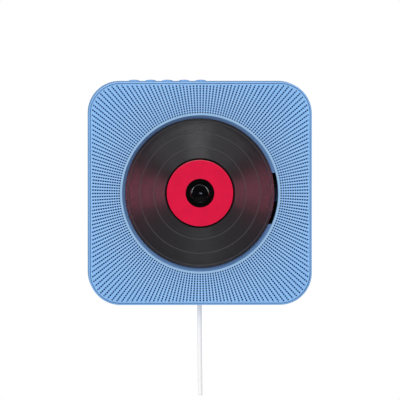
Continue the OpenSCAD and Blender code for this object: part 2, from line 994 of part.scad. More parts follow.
module deck_chassis() {
    color(black)
        difference() {
            union() {
                slab(deck_back, deck_front)
                    deck_outline(0);
                difference() {
                    slab(deck_back - skirt_h, deck_back)
                        deck_outline(0);
                    slab(deck_back - skirt_h - past, deck_back + past / 2)
                        deck_outline(skirt_wall);
                }
                for (z = [-rod_low, rod_high])
                    slab(rod_at - rod_dia / 2 - 1, deck_back)
                        panel(rod_start - holder_t, rod_start, z - holder_w / 2, z + holder_w / 2);
                for (side = [-1, 1])
                    place(motor_x + pillar_orbit * cos(motor_way + side * pillar_spread),
                        motor_z + pillar_orbit * sin(motor_way + side * pillar_spread))
                        slab(motor_front, deck_back)
                            circle(pillar_r, $fn = small_fn);
            }
            slab(deck_back - past, deck_front + past)
                circle(shaft_r + 2);
            slab(deck_back - past, deck_front + past)
                panel(lens_slot_in, lens_slot_out, -slot_half, slot_half);
            for (z = [-rod_low, rod_high])
                translate([rod_start - holder_t / 2, -rod_at, z])
                    rotate([0, 90, 0])
                        cylinder(d = rod_dia + 2 * thread_gap, h = body_w, $fn = small_fn);
            for (x = [ear_left, ear_right], z = [ear_low, ear_high])
                place(x, z)
                    slab(deck_back - past, deck_front + past)
                        circle(d = damper_hole, $fn = small_fn);
        }
}

// Outline of the deck, drawn in by an inset
module deck_outline(inset) {
    panel(deck_left + inset, deck_mid - inset, deck_low + inset, deck_high - inset);
    panel(deck_left + inset, deck_right - inset, tongue_low + inset, tongue_high - inset);
}

// Puts a copy at each of the deck's four dampers
module at_ears() {
    for (x = [ear_left, ear_right], z = [ear_low, ear_high])
        place(x, z)
            children();
}

module deck_dampers() {
    color(rubber)
        at_ears()
            turned()
                polygon([
                    [damper_bore / 2, deck_back - damper_lower],
                    [damper_dia / 2, deck_back - damper_lower],
                    [damper_dia / 2, deck_back], [damper_neck / 2, deck_back],
                    [damper_neck / 2, deck_front], [damper_dia / 2, deck_front],
                    [damper_dia / 2, floor_back], [damper_bore / 2, floor_back]
                ]);
}

module deck_screws() {
    color(steel)
        at_ears()
            screw(deck_back - damper_lower, damper_screw_dia,
                floor_back - deck_back + damper_lower + damper_screw_in, head_dia);
}

module guide_rods() {
    color(steel)
        for (z = [-rod_low, rod_high])
            translate([rod_start - holder_t / 2, -rod_at, z])
                rotate([0, 90, 0])
                    cylinder(d = rod_dia, h = deck_right - rod_start + holder_t / 2, $fn = small_fn);
}

module laser_sled() {
    color(black)
        difference() {
            union() {
                slab(sled_back, sled_front)
                    panel(sled_in, sled_out, sled_low, sled_high);
                for (x = [sled_in, sled_out - bush_l])
                    translate([x, -rod_at, -rod_low])
                        rotate([0, 90, 0])
                            cylinder(r = bush_r, h = bush_l, $fn = small_fn);
                for (x = [sled_in, sled_out - bush_l])
                    slab(rod_at - arm_behind, bridge_front)
                        panel(x, x + bush_l, -rod_low, sled_low);
                slab(bridge_back, bridge_front)
                    panel(sled_in, sled_out, rack_pitch_z + rack_module, sled_low);
                slab(rod_at - rod_dia / 2 - fork_wall, rod_at + rod_dia / 2 + fork_wall)
                    panel(lens_rest - fork_w / 2, lens_rest + fork_w / 2, sled_high,
                        rod_high + fork_out);
                slab(rack_back, bridge_front)
                    rack_outline();
            }
            translate([sled_in - past, -rod_at, -rod_low])
                rotate([0, 90, 0])
                    cylinder(r = rod_dia / 2 + run_gap, h = sled_l + 2 * past, $fn = small_fn);
            slab(rod_at - rod_dia / 2 - run_gap, rod_at + rod_dia / 2 + run_gap)
                panel(lens_rest - fork_w, lens_rest + fork_w, rod_high - rod_dia / 2 - fork_room,
                    rod_high + fork_out + past);
            place(lens_rest, 0)
                slab(sled_front - lens_well_depth, sled_front + past)
                    circle(lens_well_r, $fn = small_fn);
        }
}

// The rack's outline, with a gap between teeth above the middle of the small gear
module rack_outline() {
    pitch = PI * rack_module;
    half_tooth = (pitch / 2 - backlash / 2) / 2;
    slope = tan(pressure_angle);
    tip = half_tooth - addendum * rack_module * slope;
    root = half_tooth + dedendum * rack_module * slope;
    root_z = rack_pitch_z + dedendum * rack_module;
    tip_z = rack_pitch_z - addendum * rack_module;
    first = ceil((rack_low - gear_x) / pitch);
    last = floor((sled_out - gear_x) / pitch) - 1;
    panel(rack_low, sled_out, root_z, rack_pitch_z + rack_body);
    for (i = [first : last])
        translate([gear_x + (i + 0.5) * pitch, 0])
            polygon([
                [-root, root_z + tooth_sink], [-root, root_z], [-tip, tip_z], [tip, tip_z],
                [root, root_z], [root, root_z + tooth_sink]
            ]);
}

module lens_holder() {
    color(black)
        place(lens_rest, 0)
            difference() {
                union() {
                    slab(holder_back, holder_front)
                        panel(-holder_x / 2, holder_x / 2, -holder_z / 2, holder_z / 2);
                    slab(holder_front, collar_front)
                        circle(collar_r, $fn = small_fn);
                }
                slab(lens_back, collar_front + past)
                    circle(d = lens_dia, $fn = small_fn);
                slab(holder_back - past, lens_back + past)
                    circle(d = lens_dia - 1.2, $fn = small_fn);
            }
}

module objective_lens() {
    lens_r = lens_dia / 2;
    bulge_r = (lens_r * lens_r + lens_bulge * lens_bulge) / (2 * lens_bulge);
    color(glass)
        place(lens_rest, 0)
            intersection() {
                slab(lens_back, collar_front)
                    circle(lens_r, $fn = small_fn);
                at_depth(collar_front - bulge_r)
                    sphere(bulge_r);
            }
}

module spindle_motor() {
    motor_r = spindle_motor_dia / 2;
    color(steel)
        turned()
            polygon([
                [shaft_r + run_gap, deck_back - spindle_motor_h + 1],
                [shaft_r + run_gap, deck_back],
                [motor_r, deck_back], [motor_r, deck_back - 1], [motor_r - 1, deck_back - 1.4],
                [motor_r - 1, deck_back - spindle_motor_h],
                [0, deck_back - spindle_motor_h], [0, deck_back - spindle_motor_h + 1]
            ]);
}

module spindle_shaft() {
    color(steel)
        slab(shaft_back, shaft_front)
            circle(shaft_r, $fn = small_fn);
}

module turntable() {
    table_r = turntable_dia / 2;
    bore = shaft_r + thread_gap;
    color(black)
        turned()
            polygon([
                [bore, turntable_back], [bore + 2.4, turntable_back],
                [bore + 2.8, turntable_back + 0.6], [table_r - 0.6, turntable_back + 0.6],
                [table_r, turntable_back + 1.2], [table_r, seat_at - 0.2],
                [table_r - 0.2, seat_at], [table_r - seat_ring_w, seat_at],
                [table_r - seat_ring_w, hub_back], [bore, hub_back]
            ]);
}

module spindle_hub() {
    color(black)
        difference() {
            intersection() {
                slab(hub_back, disc_front + hub_rise)
                    circle(hub_r);
                at_depth(disc_front + hub_rise - dome_r)
                    sphere(dome_r);
            }
            slab(hub_back - past, shaft_front + thread_gap)
                circle(shaft_r + thread_gap, $fn = small_fn);
            at_balls()
                rotate([0, 90, 0])
                    translate([0, 0, -ball_r])
                        cylinder(r = ball_r + ball_gap, h = disc_hole, $fn = small_fn);
        }
}

module retaining_balls() {
    color(steel)
        at_balls()
            sphere(ball_r, $fn = small_fn);
}

// Puts a copy at each retaining ball, with its first axis pointing out of the hub
module at_balls() {
    at_depth(ball_at)
        for (i = [0 : balls - 1])
            rotate(90 + i * 360 / balls)
                translate([ball_orbit, 0, 0])
                    children();
}

module disc() {
    disc_r = disc_dia / 2;
    hole_r = disc_hole / 2;
    ridge_r = 17.2;
    ridge = 0.2;
    bevel = 0.15;
    color(vinyl)
        turned()
            polygon([
                [hole_r, seat_at + bevel], [hole_r + bevel, seat_at],
                [ridge_r, seat_at], [ridge_r + 0.3, seat_at - ridge],
                [ridge_r + 0.9, seat_at - ridge], [ridge_r + 1.2, seat_at],
                [disc_r - bevel, seat_at], [disc_r, seat_at + bevel],
                [disc_r, disc_front - bevel], [disc_r - bevel, disc_front],
                [hole_r + bevel, disc_front], [hole_r, disc_front - bevel]
            ]);
}

module disc_label() {
    color(red)
        slab(disc_front, disc_front + label_t)
            difference() {
                circle(d = label_dia);
                circle(d = label_hole);
            }
}

module feed_motor() {
    motor_r = feed_motor_dia / 2;
    bore = motor_shaft_r + run_gap;
    color(steel)
        place(motor_x, motor_z)
            turned()
                polygon([
                    [0, motor_back], [2.5, motor_back], [2.5, motor_back + 0.8],
                    [motor_r - 0.5, motor_back + 0.8], [motor_r, motor_back + 1.3],
                    [motor_r, motor_front - 0.4], [motor_r - 0.4, motor_front],
                    [bore, motor_front], [bore, motor_front - motor_shaft_in - 0.2],
                    [0, motor_front - motor_shaft_in - 0.2]
                ]);
}

module motor_pinion() {
    color(brass)
        place(motor_x, motor_z) {
            slab(large_back, large_front)
                rotate(motor_way + 180 + 180 / pinion_teeth)
                    polygon(gear_outline(drive_module, pinion_teeth));
            slab(motor_front - motor_shaft_in, large_front + 0.4)
                circle(motor_shaft_r, $fn = small_fn);
        }
}

module feed_gear() {
    color(natural)
        place(gear_x, gear_z)
            difference() {
                union() {
                    slab(rack_back, bridge_front)
                        rotate(90)
                            polygon(gear_outline(rack_module, small_teeth));
                    slab(bridge_front, large_back)
                        circle(axle_r + 1.8, $fn = small_fn);
                    slab(large_back, large_front)
                        rotate(motor_way)
                            polygon(gear_outline(drive_module, large_teeth));
                }
                slab(rack_back - past, large_front + past)
                    circle(axle_r + run_gap, $fn = small_fn);
                slab(large_front - large_face / 3, large_front + past)
                    difference() {
                        circle(large_r - 1.8);
                        circle(axle_r + 2.2, $fn = small_fn);
                    }
            }
}

module gear_axle() {
    color(steel)
        place(gear_x, gear_z) {
            slab(axle_back, axle_back + axle_head_t)
                circle(axle_head_r, $fn = small_fn);
            slab(axle_back, deck_back)
                circle(axle_r, $fn = small_fn);
            slab(large_front + axle_play, deck_back)
                circle(axle_head_r, $fn = small_fn);
        }
}

module main_board() {
    color(board_green)
        difference() {
            slab(board_back, board_front)
                panel(-board_half, board_half, board_low, board_top);
            for (sx = [-1, 1], z = [board_top - boss_in, board_low + boss_in])
                place(sx * boss_x, z)
                    slab(board_back - past, board_front + past)
                        circle(d = board_screw_dia + 0.4, $fn = small_fn);
        }
}

// A chip or plug body that stands on the main board, by its middle and size
module block_on_board(x, z, w, h, t) {
    slab(board_front, board_front + t)
        panel(x - w / 2, x + w / 2, z - h / 2, z + h / 2);
}

module board_parts() {
    chip_z = board_top - chip_drop;
    small_chip_x = case_w / 2 + chip_gap + small_chip_w / 2;
    color([0.16, 0.16, 0.18]) {
        block_on_board(main_chip_x, chip_z, main_chip_w, main_chip_w, chip_t);
        block_on_board(amp_chip_x, chip_z, amp_chip_w, amp_chip_w, chip_t);
        block_on_board(small_chip_x, chip_z, small_chip_w, small_chip_w, chip_t);
    }
    color(natural)
        block_on_board(ribbon_x, ribbon_low - ribbon_plug_h / 2, ribbon_plug_w, ribbon_plug_h,
            ribbon_plug_t);
    color([0.3, 0.33, 0.4])
        for (i = [0 : tins - 1])
            place(tin_first + i * tin_pitch, board_low + tin_r + tin_room)
                turned()
                    polygon([
                        [0, board_front], [tin_r, board_front],
                        [tin_r, board_front + tin_h - tin_edge],
                        [tin_r - tin_edge, board_front + tin_h], [0, board_front + tin_h]
                    ]);
}

module board_screws() {
    color(steel)
        for (sx = [-1, 1], z = [board_top - boss_in, board_low + boss_in])
            place(sx * boss_x, z)
                screw_back(board_front, board_screw_dia, board_front - cover_in - past - 0.3);
}

module key_board() {
    color(board_green)
        translate([key_left, -key_front, key_board_top - key_board_t])
            cube([key_right - key_left, key_front - key_back, key_board_t]);
}

module key_switches() {
    color([0.2, 0.2, 0.22])
        for (i = [0 : buttons - 1])
            translate([button_x(i), -button_depth, key_board_top])
                difference() {
                    translate([-switch_w / 2, -switch_w / 2, 0])
                        cube([switch_w, switch_w, switch_h]);
                    translate([0, 0, switch_h - switch_well])
                        cylinder(r = stem_r + 0.3, h = switch_well + past, $fn = small_fn);
                }
}

module ribbon_cable() {
    color([0.75, 0.76, 0.78])
        slab(board_front, board_front + ribbon_t)
            panel(ribbon_x - ribbon_w / 2, ribbon_x + ribbon_w / 2, ribbon_low, key_board_top);
}

// Domed push button with a flange that holds it in, and the stem that works its switch
module button(i) {
    color(blue)
        translate([button_x(i), -button_depth, 0]) {
            intersection() {
                translate([0, 0, button_flange_top - button_flange_t])
                    cylinder(r = button_r, h = half_w + button_rise - button_flange_top
                        + button_flange_t, $fn = small_fn);
                translate([0, 0, half_w + button_rise - dome_button_r])
                    sphere(dome_button_r);
            }
            translate([0, 0, button_flange_top - button_flange_t])
                cylinder(r = button_flange_r, h = button_flange_t, $fn = small_fn);
            translate([0, 0, stem_low])
                cylinder(r = stem_r, h = button_flange_top - stem_low, $fn = small_fn);
        }
}

module button_1() { button(0); }
module button_2() { button(1); }
module button_3() { button(2); }
module button_4() { button(3); }
module button_5() { button(4); }

// Puts a piece at the left or the right speaker
module at_speaker(side) {
    place(side * speaker_x, speaker_z)
        children();
}

module speaker_frame() {
    color(black)
        difference() {
            union() {
                slab(flange_back, flange_front)
                    circle(flange_out_r);
                turned()
                    polygon([
                        [0, basket_deep], [magnet_r, basket_deep],
                        [basket_r + basket_t, flange_back - basket_rim],
                        [basket_r + basket_t, flange_back + flange_t / 2],
                        [0, flange_back + flange_t / 2]
                    ]);
            }
            turned()
                polygon([
                    [0, basket_deep + basket_t], [magnet_r - basket_t, basket_deep + basket_t],
                    [basket_r, flange_back - basket_rim], [basket_r, flange_front + past],
                    [0, flange_front + past]
                ]);
            slab(basket_deep - past, basket_deep + basket_t + past)
                circle(coil_r + coil_t / 2 + coil_room, $fn = small_fn);
            at_corners(speaker_screw_at, speaker_screw_at)
                slab(flange_back - past, flange_front + past)
                    circle(d = speaker_screw_dia + 0.4, $fn = small_fn);
            at_depth(basket_deep + basket_foot)
                for (i = [0 : basket_windows - 1])
                    rotate(i * 360 / basket_windows)
                        translate([coil_r + basket_hub, -basket_window_w / 2, 0])
                            cube([basket_r, basket_window_w, basket_window_h]);
        }
}

module speaker_magnet() {
    gap_r = coil_r + coil_t / 2 + coil_room;
    color([0.3, 0.3, 0.32])
        turned()
            polygon([
                [0, magnet_back], [magnet_r - magnet_edge, magnet_back],
                [magnet_r, magnet_back + magnet_edge],
                [magnet_r, basket_deep], [gap_r, basket_deep], [gap_r, magnet_back + yoke_t],
                [pole_r, magnet_back + yoke_t], [pole_r, basket_deep], [0, basket_deep]
            ]);
}

// Paper cone with its coil former and the half round roll at its edge
module speaker_cone() {
    former_in = coil_r - coil_t / 2;
    former_out = coil_r + coil_t / 2;
    roll_x = cone_r - roll_r;
    color([0.2, 0.2, 0.22])
        turned()
            polygon(concat(
                [[former_in, basket_deep - coil_sink], [former_out, basket_deep - coil_sink],
                 [former_out, cone_neck]],
                [[roll_x - roll_r, cone_front - cone_t]],
                arc([roll_x, cone_front - cone_t], roll_r - cone_t, 180, 0, 10),
                [[cone_r, cone_front - cone_t], [cone_r, cone_front]],
                arc([roll_x, cone_front - cone_t + 0.1], roll_r, 20, 160, 10),
                [[roll_x - roll_r, cone_front], [former_out, cone_neck + cone_t],
                 [former_in, cone_neck + cone_t]]
            ));
}

module dust_cap() {
    cap_r = coil_r + coil_t / 2;
    ball = (cap_r * cap_r + cap_rise * cap_rise) / (2 * cap_rise);
    color([0.16, 0.16, 0.18])
        difference() {
            intersection() {
                slab(cone_neck + cone_t, cone_neck + cone_t + cap_rise)
                    circle(cap_r, $fn = small_fn);
                at_depth(cone_neck + cone_t + cap_rise - ball)
                    sphere(ball);
            }
            at_depth(cone_neck + cap_rise - ball)
                sphere(ball);
        }
}

module left_speaker_frame() { at_speaker(-1) speaker_frame(); }
module right_speaker_frame() { at_speaker(1) speaker_frame(); }
module left_speaker_magnet() { at_speaker(-1) speaker_magnet(); }
module right_speaker_magnet() { at_speaker(1) speaker_magnet(); }
module left_speaker_cone() { at_speaker(-1) speaker_cone(); }
module right_speaker_cone() { at_speaker(1) speaker_cone(); }
module left_dust_cap() { at_speaker(-1) dust_cap(); }
module right_dust_cap() { at_speaker(1) dust_cap(); }

module speaker_screws() {
    color(steel)
        for (side = [-1, 1])
            at_speaker(side)
                at_corners(speaker_screw_at, speaker_screw_at)
                    screw(flange_back, speaker_screw_dia,
                        lattice_back - screw_room - thread_gap - flange_back, speaker_head_dia);
}

// Power socket for a barrel plug, open to the underside of the housing
module dc_inlet() {
    low = -half_w + frame_wall;
    color(black) {
        translate([inlet_x, -inlet_at, low])
            difference() {
                translate([-inlet_w / 2, -inlet_h / 2, 0])
                    cube([inlet_w, inlet_h, inlet_l]);
                translate([0, 0, -past])
                    cylinder(d = inlet_bore, h = inlet_depth + past, $fn = small_fn);
            }
    }
    color(steel)
        translate([inlet_x, -inlet_at, low + 0.8])
            cylinder(d = inlet_pin, h = inlet_depth, $fn = small_fn);
}

module pull_switch_case() {
    color(black)
        difference() {
            translate([-case_w / 2, -case_front, case_low])
                cube([case_w, case_front - board_front, case_top - case_low]);
            translate([-channel_w / 2, -cord_depth - channel_w / 2, spring_low])
                cube([channel_w, channel_w, case_top - case_wall - spring_low]);
            translate([0, -cord_depth, case_low - past])
                cylinder(r = cord_r + cord_room, h = case_floor + 2 * past, $fn = small_fn);
        }
}

module pull_slider() {
    color(natural)
        translate([-slider_w / 2, -cord_depth - slider_w / 2, slider_low])
            cube([slider_w, slider_w, slider_h]);
}

// Compression spring round the cord: one wire that climbs from the case floor to the slider
module pull_spring() {
    count = spring_turns * spring_steps + 1;
    rise = spring_l - wire_dia - 0.02;
    path = [
        for (i = [0 : count - 1])
            let (a = 360 * i / spring_steps)
            [spring_r * cos(a), -cord_depth + spring_r * sin(a),
             spring_low + wire_dia / 2 + 0.01 + rise * i / (count - 1)]
    ];
    points = [
        for (i = [0 : count - 1])
            let (a = 360 * i / spring_steps)
            each tube_ring(path[i], [cos(a), sin(a), 0], [0, 0, 1], wire_dia / 2, spring_sides)
    ];
    color(steel)
        polyhedron(points, tube_faces(count, spring_sides));
}

module cord_bush() {
    color(cord_white)
        translate([0, -cord_depth, 0])
            rotate_extrude()
                polygon([
                    [cord_r + cord_room, -half_w + 0.3], [cord_r + cord_room + 0.5, -half_w],
                    [bush_out_r - thread_gap, -half_w],
                    [bush_out_r - thread_gap, -half_w + frame_wall],
                    [bush_flange_r, -half_w + frame_wall],
                    [bush_flange_r, -half_w + frame_wall + bush_flange_t],
                    [cord_r + cord_room, -half_w + frame_wall + bush_flange_t]
                ]);
}

// White cord from the slider down through the bush to its plain end
module pull_cord() {
    middle = concat([[0, slider_low], [0, case_low]],
        [for (p = cord_hang) [p[0], -half_w - p[1]]]);
    points = [
        for (p = middle)
            each tube_ring([p[0], -cord_depth, p[1]], [1, 0, 0], [0, 1, 0], cord_r, cord_sides)
    ];
    faces = tube_faces(len(middle), cord_sides);
    color(cord_white)
        polyhedron(points, [for (f = faces) [for (i = [len(f) - 1 : -1 : 0]) f[i]]]);
}

wall_bracket();
rear_cover();
side_frame();
front_grille();
grille_rings();
disc_well();
case_screws();
wall_bumpers();
deck_chassis();
deck_dampers();
deck_screws();
guide_rods();
laser_sled();
lens_holder();
objective_lens();
spindle_motor();
spindle_shaft();
turntable();
spindle_hub();
retaining_balls();
disc();
disc_label();
feed_motor();
motor_pinion();
feed_gear();
gear_axle();
main_board();
board_parts();
board_screws();
key_board();
key_switches();
ribbon_cable();
button_1();
button_2();
button_3();
button_4();
button_5();
left_speaker_frame();
right_speaker_frame();
left_speaker_magnet();
right_speaker_magnet();
left_speaker_cone();
right_speaker_cone();
left_dust_cap();
right_dust_cap();
speaker_screws();
dc_inlet();
pull_switch_case();
pull_slider();
pull_spring();
cord_bush();
pull_cord();
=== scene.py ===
"""Wall mounted disc player: formed pieces, finishes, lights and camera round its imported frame.

Depths are distances from the wall, so y is minus the depth. The disc turns about x = z = 0.
"""

import json
import math

import bpy
import numpy as np
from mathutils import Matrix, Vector


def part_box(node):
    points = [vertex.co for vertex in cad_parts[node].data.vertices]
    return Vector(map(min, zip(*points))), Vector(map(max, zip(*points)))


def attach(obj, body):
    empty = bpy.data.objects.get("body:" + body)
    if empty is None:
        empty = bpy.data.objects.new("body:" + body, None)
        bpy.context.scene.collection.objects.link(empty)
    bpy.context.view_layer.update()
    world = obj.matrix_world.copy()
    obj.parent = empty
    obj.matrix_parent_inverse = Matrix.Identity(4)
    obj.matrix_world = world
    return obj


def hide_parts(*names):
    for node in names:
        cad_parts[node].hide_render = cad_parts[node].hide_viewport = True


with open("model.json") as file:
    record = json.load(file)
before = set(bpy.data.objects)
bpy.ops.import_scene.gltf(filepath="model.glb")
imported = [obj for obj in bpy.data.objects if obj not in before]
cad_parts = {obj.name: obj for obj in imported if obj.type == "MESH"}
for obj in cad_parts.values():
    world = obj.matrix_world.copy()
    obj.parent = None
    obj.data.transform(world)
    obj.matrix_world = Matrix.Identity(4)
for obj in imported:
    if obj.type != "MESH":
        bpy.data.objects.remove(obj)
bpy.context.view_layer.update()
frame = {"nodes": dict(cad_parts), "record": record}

bl_info = {
    "name": "Wall mounted disc player",
    "version": (1, 0, 0),
    "blender": (4, 5, 0),
    "location": "View3D > Sidebar > Disc Player",
    "description": "Builds the finishes and formed pieces of a wall mounted disc player",
    "category": "Object",
}

MM = 0.001
TURN = 2 * math.pi


# Sizes read from the frame


def middle(node):
    """The middle of a CAD node's box."""
    low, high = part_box(node)
    return (low + high) / 2


def depth_range(node):
    """How far a CAD node's back and front stand from the wall, in metres."""
    low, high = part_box(node)
    return -high.y, -low.y


def outer_radius(node):
    """Half a CAD node's width, which is the radius of a round one."""
    low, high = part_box(node)
    return (high.x - low.x) / 2


DISC_BACK, DISC_FRONT = depth_range("disc")
LABEL_FRONT = depth_range("disc_label")[1]
HUB_BACK, HUB_FRONT = depth_range("spindle_hub")
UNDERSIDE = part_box("side_frame")[0].z
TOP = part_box("side_frame")[1].z
CORD_Y = middle("cord_bush").y

# Radii of the disc's plain rings, the radius where its clamping ring ends, and how many buttons

TRACK_GAPS = (57.9 * MM, 48.3 * MM, 36.9 * MM)
CLAMP_EDGE = 28.0 * MM
BUTTON_COUNT = 5


# Meshes from grids of points

# Two faces that meet at more than this angle keep a sharp edge between them
SHARP_ANGLE = math.radians(40)


def smooth_step(low, high, x):
    """0 below low, 1 above high, and 3t^2 - 2t^3 between them."""
    t = np.clip((x - low) / (high - low), 0, 1)
    return t * t * (3 - 2 * t)


def angles(steps):
    """Even angles round a whole turn: 2 pi k / steps."""
    return np.arange(steps) * TURN / steps


def grid_faces(rows, columns, start):
    """Four-cornered faces of a grid of points whose last column joins its first.

    A face's corners are the points of rows i and i + 1 in columns j and j + 1.
    """
    i, j = np.meshgrid(np.arange(rows - 1), np.arange(columns), indexing="ij")
    this, below, after = i * columns, (i + 1) * columns, (j + 1) % columns
    corners = [this + j, this + after, below + after, below + j]
    return start + np.stack(corners, axis=-1).reshape(-1, 4)


def pole_faces(row_start, columns, pole):
    """Three-cornered faces from each side of one row to a pole point."""
    j = np.arange(columns)
    after = (j + 1) % columns
    return np.stack([row_start + after, row_start + j, np.full(columns, pole)], axis=-1)


def signed_volume(points, faces):
    """A sixth of the sum of a . (b x c) over the faces' triangles: above 0 where they face out."""
    a, b, c = (points[faces[:, k]] for k in range(3))
    total = np.einsum("ij,ij->", a, np.cross(b, c))
    if faces.shape[1] == 4:
        d = points[faces[:, 3]]
        total += np.einsum("ij,ij->", a, np.cross(c, d))
    return total / 6


def skin(name, grids, closed=False):
    """One object from several grids of points, each of the shape (rows, columns, 3).

    Each grid is a tube whose rows are rings. Closed joins its last ring to its first. Otherwise
    a pole at the middle of the first ring, and one at the middle of the last, close it.
    """
    points, quads, triangles, start = [], [], [], 0
    for grid in grids:
        rows, columns = grid.shape[:2]
        if closed:
            grid = np.concatenate([grid, grid[:1]])
            rows += 1
        flat = grid.reshape(-1, 3)
        faces = grid_faces(rows, columns, start)
        caps = np.zeros((0, 3), int)
        if closed:
            faces = start + (faces - start) % ((rows - 1) * columns)
            flat = flat[: (rows - 1) * columns]
        else:
            first, last = start + len(flat), start + len(flat) + 1
            flat = np.concatenate([flat, grid[:1].mean(axis=1), grid[-1:].mean(axis=1)])
            caps = np.concatenate(
                [
                    pole_faces(start, columns, first),
                    pole_faces(start + (rows - 1) * columns, columns, last)[:, ::-1],
                ]
            )
        centre = flat.mean(axis=0)
        local = flat - centre
        volume = signed_volume(local, faces - start)
        if len(caps):
            volume += signed_volume(local, caps - start)
        if volume < 0:
            faces, caps = faces[:, ::-1], caps[:, ::-1]
        points.append(flat)
        quads.append(faces)
        triangles.append(caps)
        start += len(flat)
    points = np.concatenate(points)
    quads, triangles = np.concatenate(quads), np.concatenate(triangles)
    mesh = bpy.data.meshes.new(name)
    mesh.vertices.add(len(points))
    mesh.vertices.foreach_set("co", points.astype(np.float32).ravel())
    corners = np.concatenate([quads.ravel(), triangles.ravel()])
    mesh.loops.add(len(corners))
    mesh.loops.foreach_set("vertex_index", corners.astype(np.int32))
    sizes = np.concatenate([np.full(len(quads), 4), np.full(len(triangles), 3)])
    mesh.polygons.add(len(sizes))
    mesh.polygons.foreach_set("loop_start", (np.cumsum(sizes) - sizes).astype(np.int32))
    mesh.polygons.foreach_set("use_smooth", np.ones(len(sizes), bool))
    mesh.update(calc_edges=True)
    mesh.validate()
    mesh.set_sharp_from_angle(angle=SHARP_ANGLE)
    piece = bpy.data.objects.new(name, mesh)
    bpy.context.scene.collection.objects.link(piece)
    return piece


def turned(profile, steps):
    """A profile of (radius, depth) points turned about the disc's axis.

    x = r cos a, y = -depth, z = r sin a.
    """
    r, depth = np.asarray(profile, float).T
    a = angles(steps)
    x, z = np.outer(r, np.cos(a)), np.outer(r, np.sin(a))
    return np.stack([x, np.broadcast_to(-depth[:, None], x.shape), z], axis=-1)


def upright(profile, steps, centre):
    """A profile of (radius, height) points turned about an upright line through centre.

    x = cx + r cos a, y = cy + r sin a, z = height.
    """
    r, z = np.asarray(profile, float).T
    a = angles(steps)
    x, y = np.outer(r, np.cos(a)) + centre[0], np.outer(r, np.sin(a)) + centre[1]
    return np.stack([x, y, np.broadcast_to(z[:, None], x.shape)], axis=-1)


def reach(a, half, corner):
    """Distance from the middle of a square with round corners to its outline, at angle a.

    With a folded into 0 to 45 degrees and k = half - corner, it is half / cos a on a side, and
    round a corner k (cos a + sin a) + sqrt(k^2 (cos a + sin a)^2 - 2 k^2 + corner^2).
    """
    a = np.abs((a + np.pi / 4) % (np.pi / 2) - np.pi / 4)
    k = half - corner
    spread = k * (np.cos(a) + np.sin(a))
    bend = spread + np.sqrt(np.maximum(spread**2 - 2 * k**2 + corner**2, 0))
    return np.where(half * np.tan(a) <= k, half / np.cos(a), bend)


def arc(centre, radius, start, end, steps):
    """Points at a fixed distance from a centre, at even angles from start to end in degrees."""
    a = np.radians(np.linspace(start, end, steps))
    return [(centre[0] + radius * c, centre[1] + radius * s) for c, s in zip(np.cos(a), np.sin(a))]


def level(profile, inset=0.05 * MM):
    """A profile of (radius, depth) points whose level stretches keep a level shading.

    Each gets one more point just inside each of its ends, an inset away from it.
    """
    points = []
    for (r0, d0), (r1, d1) in zip(profile, profile[1:] + profile[:1]):
        points.append((r0, d0))
        if d0 == d1 and abs(r1 - r0) > 4 * inset:
            side = math.copysign(inset, r1 - r0)
            points += [(r0 + side, d0), (r1 - side, d1)]
    return points


# Materials


class Wire:
    """A shader socket that can be added to, multiplied and so on: each sign adds a Math node."""

    def __init__(self, paint, socket):
        self.paint, self.socket = paint, socket

    def math(self, operation, *values):
        return self.paint.node("Math", {"operation": operation}, dict(enumerate(values)))

    def __add__(self, other):
        return self.math("ADD", self, other)

    def __radd__(self, other):
        return self.math("ADD", other, self)

    def __sub__(self, other):
        return self.math("SUBTRACT", self, other)

    def __rsub__(self, other):
        return self.math("SUBTRACT", other, self)

    def __mul__(self, other):
        return self.math("MULTIPLY", self, other)

    def __rmul__(self, other):
        return self.math("MULTIPLY", other, self)

    def __abs__(self):
        return self.math("ABSOLUTE", self)

    def sine(self):
        return self.math("SINE", self)

    def root(self):
        return self.math("SQRT", self)

    def larger(self, other):
        return self.math("MAXIMUM", self, other)

    def ramp(self, low, high):
        """0 below low, 1 above high, with a soft step between."""
        soft = {"interpolation_type": "SMOOTHSTEP"}
        values = {"Value": self, "From Min": low, "From Max": high}
        return self.paint.node("MapRange", soft, values)


